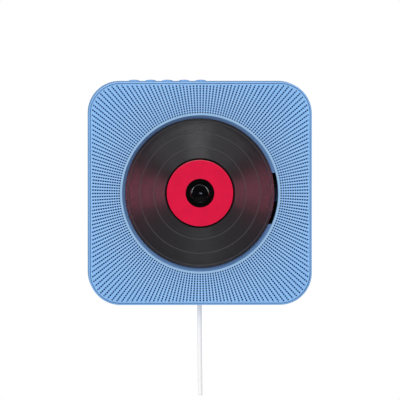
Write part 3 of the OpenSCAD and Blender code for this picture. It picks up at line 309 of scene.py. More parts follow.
class Paint:
    """The node tree of one material, with its main shader, whose other sockets take constants."""

    def __init__(self, name, colour, roughness, **constants):
        self.material = bpy.data.materials.new(name)
        self.material.use_nodes = True
        self.tree = self.material.node_tree
        self.tree.nodes.clear()
        self.shader = self.tree.nodes.new("ShaderNodeBsdfPrincipled")
        output = self.tree.nodes.new("ShaderNodeOutputMaterial")
        self.tree.links.new(self.shader.outputs[0], output.inputs["Surface"])
        self.set("Base Color", (*colour, 1))
        self.set("Roughness", roughness)
        for socket, value in constants.items():
            self.set(socket.replace("_", " ").title().replace("Ior", "IOR"), value)
        self.material.diffuse_color = (*colour, 1)

    def node(self, kind, settings=None, values=None, output=0):
        """Adds a node: its settings come first, then the values or links of its sockets."""
        made = self.tree.nodes.new("ShaderNode" + kind)
        for key, value in (settings or {}).items():
            setattr(made, key, value)
        for key, value in (values or {}).items():
            self.join(value, made.inputs[key])
        return Wire(self, made.outputs[output])

    def join(self, value, socket):
        """Links a wire to a socket, or sets the socket to a value."""
        if isinstance(value, Wire):
            self.tree.links.new(value.socket, socket)
        else:
            socket.default_value = value

    def set(self, name, value):
        self.join(value, self.shader.inputs[name])

    def place(self):
        """The point of the surface in the frame's own metres."""
        return self.node("TexCoord", output="Object")

    def parts(self, vector):
        """The x, y and z of a vector."""
        split = self.node("SeparateXYZ", values={0: vector})
        return [Wire(self, split.socket.node.outputs[k]) for k in range(3)]

    def vector(self, x, y, z):
        return self.node("CombineXYZ", values={0: x, 1: y, 2: z})

    def noise(self, size, detail=2.0, roughness=0.5, at=None, stretch=None):
        """Soft noise from 0 to 1 whose lumps are about size metres across."""
        point = at or self.place()
        if stretch:
            point = self.node("VectorMath", {"operation": "MULTIPLY"}, {0: point, 1: stretch})
        return self.node(
            "TexNoise",
            values={"Vector": point, "Scale": 1 / size, "Detail": detail, "Roughness": roughness},
        )

    def cells(self, size):
        """Distance from the middle of the nearest cell, for cells about size metres across."""
        return self.node("TexVoronoi", values={"Vector": self.place(), "Scale": 1 / size})

    def mix(self, share, first, second):
        """The first colour where share is 0, the second where it is 1."""
        node = self.node("Mix", {"data_type": "RGBA"}, {0: share}).socket.node
        for value, socket in ((first, node.inputs[6]), (second, node.inputs[7])):
            self.join((*value, 1) if isinstance(value, tuple) else value, socket)
        return Wire(self, node.outputs[2])

    def bump(self, height, depth):
        """Tilts the surface as if height, from 0 to 1, stood depth metres proud."""
        self.set("Normal", self.node("Bump", values={"Height": height, "Distance": depth}))


def shade(colour, factor):
    """A colour made lighter or darker."""
    return tuple(min(1.0, c * factor) for c in colour)


def moulded_plastic(name, colour, roughness=0.42, grain=0.35 * MM, inner=None):
    """Injection moulded plastic: spark texture, faint flow shading and the sheen of handling.

    Inner is a paler colour for its ribs round the well, a painted highlight, whose lip is a little
    darker.
    """
    paint = Paint(name, colour, roughness)
    flow = paint.noise(50 * MM, 3)
    fine = paint.noise(grain, 2)
    touch = paint.noise(18 * MM, 4, 0.6)
    tone = paint.mix(flow.ramp(0.3, 0.7), shade(colour, 0.965), shade(colour, 1.03))
    if inner:
        x, y, z = paint.parts(paint.place())
        radius = (x * x + z * z).root()
        # Painted highlight: the ribs grow paler towards the well, and the lip at its edge is a
        # little darker
        tone = paint.mix(radius.ramp(62 * MM, 105 * MM), inner, tone)
        tone = paint.mix(radius.ramp(64.3 * MM, 65.1 * MM), shade(inner, 0.86), tone)
    tone = paint.mix(fine.ramp(0.35, 0.75) * 0.25, tone, shade(colour, 0.9))
    paint.set("Base Color", tone)
    paint.set("Roughness", roughness + (touch - 0.5) * 0.16 + (fine - 0.5) * 0.1)
    paint.bump(fine, 0.012 * MM)
    return paint.material


def worked_metal(name, colour, roughness, stretch=(1, 1, 1), size=0.6 * MM):
    """Metal with the fine lines of its working, stretched along one axis, and duller patches."""
    paint = Paint(name, colour, roughness, metallic=1.0)
    lines = paint.noise(size, 3, stretch=stretch)
    patch = paint.noise(8 * MM, 3)
    paint.set("Base Color", paint.mix(patch.ramp(0.35, 0.75), colour, shade(colour, 0.82)))
    paint.set("Roughness", roughness + (lines - 0.5) * 0.18 + (patch - 0.5) * 0.12)
    paint.bump(lines, 0.004 * MM)
    return paint.material


def rubber(name, colour):
    """Rubber with a fine matt bloom."""
    paint = Paint(name, colour, 0.75, specular_ior_level=0.35)
    bloom, fine = paint.noise(4 * MM, 4), paint.noise(0.22 * MM, 3)
    paint.set("Base Color", paint.mix(bloom.ramp(0.35, 0.7), colour, shade(colour, 1.7)))
    paint.set("Roughness", 0.68 + bloom * 0.2)
    paint.bump(fine, 0.02 * MM)
    return paint.material


def powder_coat(name, colour):
    """Sheet steel under a satin powder coat with its orange peel."""
    paint = Paint(name, colour, 0.45)
    peel, broad = paint.noise(1.1 * MM, 2), paint.noise(20 * MM, 3)
    tone = paint.mix(broad.ramp(0.3, 0.7), shade(colour, 0.95), shade(colour, 1.03))
    paint.set("Base Color", tone)
    paint.set("Roughness", 0.4 + (peel - 0.5) * 0.12)
    paint.bump(peel, 0.03 * MM)
    return paint.material


def black_plastic(name, colour, gloss, specular):
    """Dark plastic: faint grey scuffs on a smooth or matt ground."""
    paint = Paint(name, colour, 1 - gloss, specular_ior_level=specular)
    fine, scuff = paint.noise(0.4 * MM, 3), paint.noise(6 * MM, 5, 0.7)
    paint.set("Base Color", paint.mix(scuff.ramp(0.55, 0.8) * 0.5, colour, shade(colour, 2.2)))
    paint.set("Roughness", 1 - gloss + (scuff - 0.5) * 0.2)
    paint.bump(fine, 0.01 * MM)
    return paint.material


def circuit_board(name, colour):
    """Solder mask with copper runs under it and bright pads.

    Runs show where sin(2600 x + bend) sin(900 z + 2 bend) is above 0, for a slow noise as bend.
    """
    paint = Paint(name, colour, 0.35)
    x, y, z = paint.parts(paint.place())
    bend = paint.noise(12 * MM, 1) * 9
    across, up = x * 2600 + bend, z * 900 + bend * 2
    runs = (across.sine() * up.sine()).ramp(0.05, 0.2)
    pads = 1 - paint.cells(3.2 * MM).ramp(0.16, 0.2)
    tone = paint.mix(runs * 0.6, colour, (0.09, 0.36, 0.16))
    paint.set("Base Color", paint.mix(pads, tone, (0.75, 0.72, 0.6)))
    paint.set("Metallic", pads * 0.9)
    paint.set("Roughness", 0.38 - pads * 0.12)
    paint.bump(runs, 0.03 * MM)
    return paint.material


def paper_cone(name, colour, centre):
    """Pressed paper: fibres, and rings sin(5200 r) round the cone's own axis."""
    paint = Paint(name, colour, 0.8, specular_ior_level=0.3)
    x, y, z = paint.parts(paint.place())
    across, up = x - centre.x, z - centre.z
    radius = (across * across + up * up).root()
    fibre = paint.noise(0.7 * MM, 5, 0.7)
    rings = (radius * 5200).sine() * 0.5 + 0.5
    tone = paint.mix(fibre.ramp(0.35, 0.7), shade(colour, 0.7), shade(colour, 1.5))
    paint.set("Base Color", tone)
    paint.set("Roughness", 0.72 + fibre * 0.2)
    paint.bump(fibre * 0.6 + rings * 0.4, 0.05 * MM)
    return paint.material


def finish(node, material):
    """Puts a material in every slot of a CAD node."""
    piece = frame["nodes"][node]
    if not piece.material_slots:
        piece.data.materials.append(material)
    for slot in piece.material_slots:
        slot.material = material


def settle(piece, material, body, slot, *nodes):
    """Gives a new piece its finish and its body, and hides the CAD nodes it stands for. Its slot is
    not used.
    """
    piece.data.materials.append(material)
    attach(piece, body)
    if nodes:
        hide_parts(*nodes)


# Sizes and colours that a user would change


def colour_of(name, description, default):
    return bpy.props.FloatVectorProperty(
        name=name, description=description, subtype="COLOR", size=3, min=0, max=1, default=default
    )


def length_of(name, description, default):
    return bpy.props.FloatProperty(
        name=name,
        description=description,
        unit="LENGTH",
        subtype="DISTANCE",
        min=0,
        default=default,
    )


def number_of(name, description, default, **limits):
    return bpy.props.FloatProperty(
        name=name, description=description, min=0, default=default, **limits
    )


class HousingLook(bpy.types.PropertyGroup):
    """Colours and grain of the moulded housing."""

    plastic: colour_of("Plastic", "Colour of the side frame, cover and buttons", (0.22, 0.49, 0.9))
    # The ribs' lighter blue than the housing plastic is a painted highlight on the rib tops; the
    # inner ribs are paler still, a painted highlight round the well
    ribs: colour_of("Ribs", "Colour of the front panel at the corners", (0.287, 0.575, 1.0))
    inner: colour_of("Inner ribs", "Colour of the front panel round the well", (0.38, 0.64, 0.96))
    rings: colour_of("Rings", "Colour of the ring lattice", (0.235, 0.52, 0.94))
    # The net's near-black colour is painted shade seen through the lattice's holes
    net: colour_of("Net", "Colour of the net in the lattice's holes", (0.0005, 0.018, 0.2))
    well: colour_of("Well", "Colour of the disc well", (0.24, 0.44, 0.76))
    grain: length_of("Grain", "Size of the spark texture's grains", 0.35 * MM)


class DiscLook(bpy.types.PropertyGroup):
    """The grooved disc and its label."""

    ground: colour_of("Disc", "Colour of the disc", (0.0195, 0.0195, 0.0215))
    label: colour_of("Label", "Colour of the label", (0.8, 0.003, 0.052))
    groove: length_of("Groove", "Distance between two grooves", 0.29 * MM)
    slope: number_of("Groove slope", "Steepness of the grooves' sides", 0.42, max=2)
    tilt: number_of("Groove tilt", "How far the grooves lean outwards on the whole", 0.14, max=1)


class CordLook(bpy.types.PropertyGroup):
    """The pull cord."""

    diameter: length_of("Diameter", "Thickness of the cord", 3.6 * MM)
    colour: colour_of("Colour", "Colour of the cord", (0.95, 0.93, 0.92))


class StageLook(bpy.types.PropertyGroup):
    """Camera and light."""

    distance: length_of("Camera distance", "From the housing's front to the camera", 8.0)
    width: length_of("Picture width", "Width that the picture shows at the front", 0.3206)
    daylight: number_of("Daylight", "Strength of the even light", 0.68)
    mirrored: number_of("Mirrored", "Strength of the even light as shiny pieces mirror it", 0.14)
    key: number_of("Key light", "Power of the main lamp", 14.5)


class PlayerLook(bpy.types.PropertyGroup):
    """Everything that the sidebar shows."""

    housing: bpy.props.PointerProperty(type=HousingLook)
    disc: bpy.props.PointerProperty(type=DiscLook)
    cord: bpy.props.PointerProperty(type=CordLook)
    stage: bpy.props.PointerProperty(type=StageLook)


# Pieces


class PLAYER_OT_housing(bpy.types.Operator):
    """Finishes the side frame, front panel, ring lattice, disc well and rear cover"""

    bl_idname = "disc_player.housing"
    bl_label = "Housing"

    def execute(self, context):
        look = context.scene.disc_player.housing
        grain = look.grain
        shell = moulded_plastic("blue_plastic", tuple(look.plastic), grain=grain)
        finish("side_frame", shell)
        finish("rear_cover", shell)
        # The front panel's lighter blue is a painted highlight on its ribs
        ribs = moulded_plastic(
            "rib_plastic_painted_highlight", tuple(look.ribs), grain=grain, inner=tuple(look.inner)
        )
        finish("front_grille", ribs)
        finish("grille_rings", moulded_plastic("ring_plastic", tuple(look.rings), grain=grain))
        finish("disc_well", moulded_plastic("well_plastic", tuple(look.well), 0.5, grain))
        return {"FINISHED"}


def net_paint_hole_shade(colour):
    """Woven net, its threads 0.4 mm apart: sin(2 pi x / 0.4 mm) times sin(2 pi z / 0.4 mm). Its
    near-black colour is painted shade seen through the lattice's holes.
    """
    paint = Paint("net_weave_hole_shade", colour, 0.85, specular_ior_level=0.1)
    x, y, z = paint.parts(paint.place())
    per_metre = TURN / (0.4 * MM)
    weave = (x * per_metre).sine() * (z * per_metre).sine()
    fuzz = paint.noise(0.6 * MM, 3)
    tone = paint.mix(weave.ramp(-0.6, 0.6), shade(colour, 0.8), shade(colour, 1.15))
    paint.set("Base Color", paint.mix(fuzz.ramp(0.4, 0.8) * 0.4, tone, shade(colour, 0.7)))
    paint.set("Roughness", 0.78 + fuzz * 0.15)
    paint.bump(weave * 0.5 + fuzz * 0.3, 0.04 * MM)
    return paint.material


class PLAYER_OT_net(bpy.types.Operator):
    """Lays the dust net that is moulded into the ring lattice behind its holes; its near-black
    colour is painted shade in the holes
    """

    bl_idname = "disc_player.net"
    bl_label = "Dust net"

    def execute(self, context):
        look = context.scene.disc_player.housing
        sunk, margin, corner = 0.3 * MM, 0.5 * MM, 23.6 * MM
        half_thick, past_disc = 0.09 * MM, 4.1 * MM
        depth = depth_range("grille_rings")[0] + sunk
        # At each angle the radius grows evenly from the well's circle to the rounded square
        a = angles(360)
        inner = outer_radius("disc") + past_disc
        outer = reach(a, outer_radius("grille_rings") - margin, corner)
        share = np.linspace(0, 1, 9)[:, None]
        radius = inner + share * (outer - inner)
        x, z = radius * np.cos(a), radius * np.sin(a)
        front = np.stack([x, np.full_like(x, -depth - half_thick), z], axis=-1)
        back = np.stack([x, np.full_like(x, half_thick - depth), z], axis=-1)
        piece = skin("dust_net_hole_shade", [np.concatenate([front, back[::-1]])], closed=True)
        # The net's near-black colour is painted shade in the lattice's holes
        settle(piece, net_paint_hole_shade(tuple(look.net)), "player", "grille_blue_back")
        return {"FINISHED"}


class PLAYER_OT_buttons(bpy.types.Operator):
    """Turns the five domed buttons, each with its flange and stem"""

    bl_idname = "disc_player.buttons"
    bl_label = "Buttons"

    def execute(self, context):
        look = context.scene.disc_player.housing
        colour = shade(tuple(look.plastic), 1.04)
        paint = moulded_plastic("button_plastic", colour, 0.34, look.grain)
        cap_r, stem_r, edge, bevel = 4.2 * MM, 1.5 * MM, 0.35 * MM, 0.1 * MM
        dome_rise, flange_sunk, flange_thick = 0.55 * MM, 2.4 * MM, 0.8 * MM
        flange_top = TOP - flange_sunk
        flange_low = flange_top - flange_thick
        # The dome's height is the top minus rise x (radius / cap radius)^2
        radii = np.linspace(cap_r - edge * 1.1, 0.05 * cap_r, 12)
        for number in range(1, BUTTON_COUNT + 1):
            node = f"button_{number}"
            low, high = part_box(node)
            flange_r = outer_radius(node)
            profile = [
                (stem_r, low.z),
                (stem_r, flange_low),
                (flange_r - bevel, flange_low),
                (flange_r, flange_low + bevel),
                (flange_r, flange_top - bevel),
                (flange_r - bevel, flange_top),
                (cap_r, flange_top),
            ]
            profile += arc((cap_r - edge, high.z - dome_rise - edge), edge, 0, 80, 7)
            profile += list(zip(radii, high.z - dome_rise * (radii / cap_r) ** 2))
            piece = skin(f"button_cap_{number}", [upright(profile, 64, middle(node))])
            settle(piece, paint, f"key_{number}", "button_blue", node)
        return {"FINISHED"}


def track_gaps(radius):
    """1 in the plain rings between the tracks, and 0 elsewhere."""
    return sum((1 - abs(radius - gap).ramp(0.15 * MM, 0.4 * MM) for gap in TRACK_GAPS), 0.0)


def disc_paint(look):
    """Black disc, on which its grooves draw fans of light.

    Its normal leans along the radius by tilt + slope x sin(2 pi r / groove).
    """
    paint = Paint("groove_black", tuple(look.ground), 0.16, specular_ior_level=0.15)
    x, y, z = paint.parts(paint.place())
    radius = (x * x + z * z).root()
    outward = paint.node("VectorMath", {"operation": "NORMALIZE"}, {0: paint.vector(x, 0.0, z)})
    gaps = track_gaps(radius)
    band = radius.ramp(CLAMP_EDGE + 0.1 * MM, CLAMP_EDGE + 0.4 * MM) * (1 - gaps)
    lean = ((radius * (TURN / look.groove)).sine() * look.slope + look.tilt) * band
    tilt = paint.node("VectorMath", {"operation": "SCALE"}, {0: outward, "Scale": lean})
    turn = {"vector_type": "VECTOR", "convert_from": "OBJECT", "convert_to": "WORLD"}
    tilt = paint.node("VectorTransform", turn, {0: tilt})
    normal = paint.node("NewGeometry", output="Normal")
    leaning = paint.node("VectorMath", {"operation": "ADD"}, {0: normal, 1: tilt})
    paint.set("Normal", paint.node("VectorMath", {"operation": "NORMALIZE"}, {0: leaning}))
    dust = paint.noise(3 * MM, 5, 0.7)
    rings = paint.noise(1.1 * MM, 2, at=paint.vector(radius, 0.0, 0.0))
    ground = tuple(look.ground)
    tone = paint.mix(rings.ramp(0.3, 0.7), shade(ground, 0.85), shade(ground, 1.15))
    # Painted sheen: the plain rings between the tracks are painted lighter than the disc's black
    tone = paint.mix(gaps, tone, shade(ground, 3.5))
    tracks = radius.ramp(CLAMP_EDGE - 0.4 * MM, CLAMP_EDGE - 0.1 * MM)
    paint.set("Base Color", paint.mix(1 - tracks, tone, shade(ground, 0.05)))
    paint.set("Roughness", 0.05 + tracks * 0.17 + dust * 0.08)
    return paint.material


class PLAYER_OT_disc(bpy.types.Operator):
    """Turns the disc with its rim, grooves and clamping ring, and the label that lies on it"""

    bl_idname = "disc_player.disc"
    bl_label = "Disc"

    def execute(self, context):
        look = context.scene.disc_player.disc
        self.turn_disc(look)
        self.turn_label(tuple(look.label))
        return {"FINISHED"}

    def turn_disc(self, look):
        """Profile: rim, plain rings between sunk tracks, clamping ring, hole, back groove."""
        r, hole, edge = outer_radius("disc"), 7.5 * MM, 0.2 * MM
        rim, clamp_in, ring = 58.9 * MM, 26.9 * MM, 17.6 * MM
        back, front = DISC_BACK, DISC_FRONT
        tracks, clamp, groove = front - 0.06 * MM, front - 0.4 * MM, back + 0.05 * MM
        profile = arc((r - edge, back + edge), edge, -90, 0, 5)
        profile += arc((r - edge, front - edge), edge, 0, 90, 5)
        profile += [(rim, front), (rim - 0.3 * MM, tracks)]
        for gap in TRACK_GAPS:
            profile += [(gap + 0.3 * MM, tracks), (gap + 0.1 * MM, front)]
            profile += [(gap - 0.1 * MM, front), (gap - 0.3 * MM, tracks)]
        profile += [(CLAMP_EDGE, tracks), (CLAMP_EDGE - 0.2 * MM, clamp)]
        profile += [(clamp_in, clamp), (clamp_in - 0.1 * MM, front), (ring, front)]
        profile += [(hole + edge, front)]
        profile += arc((hole + edge, front - edge), edge, 90, 180, 5)[1:]
        profile += arc((hole + edge, back + edge), edge, 180, 270, 5)
        profile += [(ring - 1.0 * MM, back), (ring - 0.8 * MM, groove)]
        profile += [(ring - 0.2 * MM, groove), (ring, back)]
        piece = skin("grooved_disc", [turned(level(profile), 288)], closed=True)
        settle(piece, disc_paint(look), "record", "disc_black", "disc")

    def turn_label(self, colour):
        """Profile, from the hole's back edge: bevelled rim, bead, sunk ring of print, bead."""
        low, high = 11.55 * MM, outer_radius("disc_label")
        back, top = DISC_FRONT, LABEL_FRONT + 0.1 * MM
        sunk, soft = top - 0.03 * MM, 0.06 * MM
        profile = [(low, back), (high, back), (high, top - 0.18 * MM), (high - 0.5 * MM, top)]
        profile += [(high - 1.0 * MM, top), (high - 1.1 * MM, sunk)]
        profile += [(low + 0.9 * MM, sunk), (low + 0.8 * MM, top)]
        profile += [(low + soft, top), (low, top - soft)]
        piece = skin("label_ring", [turned(level(profile), 192)], closed=True)
        paint = Paint("label_red", colour, 0.3, specular_ior_level=0.2)
        ink, broad = paint.noise(0.5 * MM, 4), paint.noise(12 * MM, 3)
        tone = paint.mix(broad.ramp(0.3, 0.7), shade(colour, 0.95), shade(colour, 1.05))
        paint.set("Base Color", paint.mix(ink.ramp(0.5, 0.8) * 0.2, tone, shade(colour, 0.7)))
        paint.set("Roughness", 0.26 + (ink - 0.5) * 0.14)
        paint.bump(ink, 0.006 * MM)
        settle(piece, paint.material, "record", "label_red", "disc_label")


class PLAYER_OT_hub(bpy.types.Operator):
    """Turns the domed hub, with a dimple round each retaining ball"""

    bl_idname = "disc_player.hub"
    bl_label = "Hub"

    def execute(self, context):
        # Its dome falls by rise x (radius / r)^2, and the shoulder's arc meets it at its own slope
        r, shoulder, rise = outer_radius("spindle_hub"), 1.2 * MM, 1.1 * MM
        side = np.linspace(HUB_BACK, HUB_FRONT - rise - shoulder, 28)
        radii = np.linspace(r - shoulder, 0.03 * r, 16)
        dome = HUB_FRONT - rise * (radii / r) ** 2
        profile = [(r - 0.3 * MM, HUB_BACK)] + [(r, depth) for depth in side]
        dome_slope = math.atan2(2 * rise * (r - shoulder), r * r)
        bend_at = dome[0] - shoulder * math.cos(dome_slope)
        bend = arc((r - shoulder, bend_at), shoulder, 0, 90 - math.degrees(dome_slope), 9)
        profile += [point for point in bend if point[1] > side[-1]]
        profile += list(zip(radii, dome))
        piece = skin("domed_hub", [self.dimpled(turned(profile, 192), r)])
        black, grey = (0.0015, 0.0015, 0.002), (0.004, 0.004, 0.005)
        paint = Paint("hub_gloss", black, 0.12, specular_ior_level=0.07)
        film = paint.noise(4 * MM, 4)
        paint.set("Roughness", 0.06 + film * 0.1)
        paint.set("Base Color", paint.mix(film.ramp(0.4, 0.8), black, grey))
        paint.bump(paint.noise(1.2 * MM, 2), 0.001 * MM)
        settle(piece, paint.material, "spindle", "hub_black", "spindle_hub")
        return {"FINISHED"}

    def dimpled(self, grid, r):
        """Points of the hub, pushed towards its axis round each of the three retaining balls.

        The push falls from 0.5 mm to 0 between 0.75 and 1.15 mm from the ball's middle.
        """
        sunk, inner, outer = 0.5 * MM, 0.75 * MM, 1.15 * MM
        x, y, z = grid[..., 0], grid[..., 1], grid[..., 2]
        ball_y = middle("retaining_balls").y
        push = np.zeros_like(x)
        for turn in np.radians([90, 210, 330]):
            ball_x, ball_z = r * math.cos(turn), r * math.sin(turn)
            away = np.sqrt((x - ball_x) ** 2 + (z - ball_z) ** 2 + (y - ball_y) ** 2)
            push = np.maximum(push, sunk * (1 - smooth_step(inner, outer, away)))
        share = 1 - push / np.hypot(x, z)
        return np.stack([x * share, y, z * share], axis=-1)


class PLAYER_OT_screws(bpy.types.Operator):
    """Turns the four case screws, with a cross sunk in each pan head"""

    bl_idname = "disc_player.screws"
    bl_label = "Case screws"

    def execute(self, context):
        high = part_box("case_screws")[1]
        back, tip = depth_range("case_screws")
        head_r, edge, shank_r, tip_r = 3 * MM, 0.6 * MM, 1.45 * MM, 0.6 * MM
        head_thick, taper, crown = 1.4 * MM, 0.6 * MM, 0.12 * MM
        flat_r, neck = head_r - edge, back + head_thick
        # The head's crown falls by crown x (radius / head radius)^2 from its middle
        radii = np.linspace(0.02 * MM, flat_r, 26)
        profile = list(zip(radii, back + crown * (radii / head_r) ** 2))
        profile += arc((flat_r, back + 0.65 * MM), edge, -80, 0, 6)
        profile += [(head_r, neck), (shank_r, neck), (shank_r, tip - taper), (tip_r, tip)]
        grid = turned(profile, 72)
        # The cross is as deep as cross_sunk where x or z is near 0, and shallower further out
        arm_reach, cross_sunk = 1.75 * MM, 0.85 * MM
        across, up = np.abs(grid[..., 0]), np.abs(grid[..., 2])
        along, beside = np.maximum(across, up), np.minimum(across, up)
        cross = 1 - smooth_step(0.38 * MM, 0.5 * MM, beside)
        cross *= 1 - smooth_step(arm_reach - 0.3 * MM, arm_reach, along)
        cross *= -grid[..., 1] < back + 0.5 * MM
        grid[..., 1] -= cross_sunk * cross * (1 - 0.3 * along / arm_reach)
        x_far, z_far = high.x - head_r, high.z - head_r
        places = [(sx * x_far, 0, sz * z_far) for sx in (-1, 1) for sz in (-1, 1)]
        piece = skin("cross_screws", [grid + np.array(place) for place in places])
        steel = worked_metal("screw_zinc", (0.62, 0.62, 0.6), 0.34, size=0.5 * MM)
        settle(piece, steel, "player", "screw_steel", "case_screws")
        return {"FINISHED"}


def cord_route():
    """Middle line of the cord below the housing, as in the source.

    It gives how far the cord swings to the right, and its height, from the housing down.
    """
    right = [0, 0, 0, 0, 0, 0, 0, 0.1, 0.1, 0.2, 0.2, 0.3, 0.4, 0.4, 0.5, 0.6, 0.6]
    below = [0, *np.arange(0.5, 71, 5), 73.5]
    return np.array(right) * MM, UNDERSIDE - np.array(below) * MM


class PLAYER_OT_cord(bpy.types.Operator):
    """Sweeps the braided pull cord from its slider to its plain end"""

    bl_idname = "disc_player.cord"
    bl_label = "Pull cord"

    def execute(self, context):
        look = context.scene.disc_player.cord
        radius = look.diameter / 2
        right, height = cord_route()
        levels = np.linspace(height[0], height[-1], 50)
        centre = np.interp(-levels, -height, right)
        smoothing = np.ones(5) / 5
        centre = np.convolve(np.pad(centre, 2, mode="edge"), smoothing, mode="valid")
        centre[0] = 0
        around = angles(32)

        def ring(x, z, share=1.0):
            """A level circle round the middle line: x + r cos a, y + r sin a."""
            reach_x, reach_y = radius * np.cos(around), radius * np.sin(around)
            flat = np.full_like(around, z)
            return np.stack([x + share * reach_x, CORD_Y + share * reach_y, flat], axis=-1)

        rounded_end = [(1.0, 0.2 * radius), (0.93, 0.06 * radius), (0.7, 0.0), (0.25, 0.0)]
        rings = [ring(centre[0], levels[0], share) for share in (0.3, 0.7, 1.0)]
        rings += [ring(x, z) for x, z in zip(centre[1:-1], levels[1:-1])]
        rings += [ring(centre[-1], levels[-1] + rise, share) for share, rise in rounded_end]
        piece = skin("braided_cord", [np.array(rings)])
        inner = np.linspace(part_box("pull_cord")[1].z, UNDERSIDE + 0.02 * MM, 8)
        hidden = skin("cord_inside", [np.array([ring(0.0, z) for z in inner])])
        braid = self.braid(tuple(look.colour))
        settle(hidden, braid, "pull", "cord_white")
        settle(piece, braid, "pull", "cord_white", "pull_cord")
        finish("cord_bush", moulded_plastic("bush_plastic", (0.8, 0.8, 0.8), 0.4))
        return {"FINISHED"}

    def braid(self, colour):
        """Strands that wind about the cord both ways: sin(8 angle + 4200 z) and the same with -."""
        paint = Paint("cord_braid", colour, 0.62, sheen_weight=0.15)
        x, y, z = paint.parts(paint.place())
        around = paint.node("Math", {"operation": "ARCTAN2"}, {0: y - CORD_Y, 1: x}) * 8
        rise = z * 4200
        weave = (around + rise).sine().larger((around - rise).sine())
        fuzz = paint.noise(0.4 * MM, 4)
        tone = paint.mix(weave.ramp(-0.4, 0.6), shade(colour, 0.93), shade(colour, 1.03))
        paint.set("Base Color", tone)
        paint.set("Roughness", 0.55 + fuzz * 0.2)
        paint.bump(weave * 0.4 + fuzz * 0.2, 0.12 * MM)
        return paint.material


class PLAYER_OT_works(bpy.types.Operator):
    """Finishes the bracket, deck, sled, gears, speakers, boards and small parts"""

    bl_idname = "disc_player.works"
    bl_label = "Works"

    def execute(self, context):
        steel = worked_metal("bright_steel", (0.66, 0.67, 0.69), 0.3)
        rod = worked_metal("ground_rod", (0.75, 0.76, 0.78), 0.14, (0.05, 1, 1), 0.2 * MM)
        can = worked_metal("motor_can", (0.58, 0.59, 0.6), 0.36, (1, 0.06, 1))
        brass = worked_metal("gear_brass", (0.68, 0.48, 0.2), 0.28)
        deck = black_plastic("deck_plastic", (0.0035, 0.0035, 0.004), 0.25, 0.08)
        sled = black_plastic("sled_plastic", (0.006, 0.006, 0.007), 0.45, 0.2)
        dark = black_plastic("dark_plastic", (0.02, 0.02, 0.022), 0.5, 0.4)
        soft = rubber("black_rubber", (0.015, 0.015, 0.016))
        table = {
            "bracket_steel": powder_coat("bracket_paint", (0.62, 0.63, 0.65)),
            "screw_steel": steel,
            "rubber_black": soft,
            "deck_black": deck,
            "sled_black": sled,
            "hub_black": sled,
            "polished_steel": rod,
            "motor_steel": can,
            "gear_brass": brass,
            "gear_natural": moulded_plastic("gear_resin", (0.72, 0.69, 0.6), 0.4),
            "board_green": circuit_board("solder_mask", (0.01, 0.13, 0.05)),
            "board_part_dark": dark,
            "basket_black": dark,
            "socket_black": dark,
            "slider_natural": moulded_plastic("slider_resin", (0.75, 0.74, 0.7), 0.45),
            "spring_steel": worked_metal("spring_wire", (0.6, 0.6, 0.62), 0.25),
            "magnet_grey": worked_metal("yoke_plate", (0.42, 0.43, 0.45), 0.42),
            "ribbon_grey": self.ribbon(),
            "lens_glass": self.lens(),
        }
        for part in frame["record"]["subparts"]:
            node, slot = part["node"], part["material_slot"]
            if slot in table and not frame["nodes"][node].hide_render:
                finish(node, table[slot])
        for side in ("left", "right"):
            centre = middle(f"{side}_speaker_cone")
            paper = paper_cone(f"{side}_paper", (0.02, 0.02, 0.022), centre)
            finish(f"{side}_speaker_cone", paper)
            finish(f"{side}_dust_cap", paper)
        return {"FINISHED"}

    def ribbon(self):
        """Flat cable: grey ribs 1.27 mm apart, one per wire: sin(2 pi x / 1.27 mm)."""
        paint = Paint("ribbon_wires", (0.5, 0.51, 0.53), 0.5)
        x, y, z = paint.parts(paint.place())
        wires = (x * (TURN / (1.27 * MM))).sine() * 0.5 + 0.5
        paint.set("Base Color", paint.mix(wires, (0.36, 0.37, 0.39), (0.55, 0.56, 0.58)))
        paint.set("Roughness", 0.42 + wires * 0.12)
        paint.bump(wires, 0.2 * MM)
        return paint.material

    def lens(self):
        """Coated glass with a faint violet cast."""
        paint = Paint("lens_coating", (0.05, 0.06, 0.14), 0.05, coat_weight=1.0, ior=1.6)
        film = paint.noise(2 * MM, 2)
        paint.set("Base Color", paint.mix(film, (0.03, 0.04, 0.12), (0.12, 0.05, 0.2)))
        paint.set("Roughness", 0.03 + film * 0.04)
        return paint.material


# Stage

WHITE, DAYLIGHT = (1, 1, 1), (0.97, 0.98, 1)


def aim(thing, way):
    """Turns a lamp or the camera so that it looks along a direction, upright."""
    thing.rotation_mode = "QUATERNION"
    thing.rotation_quaternion = way.to_track_quat("-Z", "Y")


def softbox(
    name, place, target, size, power, colour=WHITE, on=(), through=False, diffuse=False, glossy=True
):
    """A flat lamp of a width and height in metres, turned to its target.

    It lights the pieces that on names, or all of them where it names none. Through lets it
    pass the pieces that it doesn't light.
    """
    data = bpy.data.lights.new(name, "AREA")
    data.shape, data.size, data.size_y = "RECTANGLE", size[0], size[1]
    data.energy, data.color = power, colour
    lamp = bpy.data.objects.new(name, data)
    bpy.context.scene.collection.objects.link(lamp)
    lamp.location = place
    aim(lamp, Vector(target) - lamp.location)
    lamp.visible_diffuse, lamp.visible_glossy = diffuse, glossy
    lamp.visible_camera = False
    if on:
        only = bpy.data.collections.new(name + "_lights")
        for piece in on:
            only.objects.link(bpy.data.objects[piece])
        lamp.light_linking.receiver_collection = only
        if through:
            lamp.light_linking.blocker_collection = only


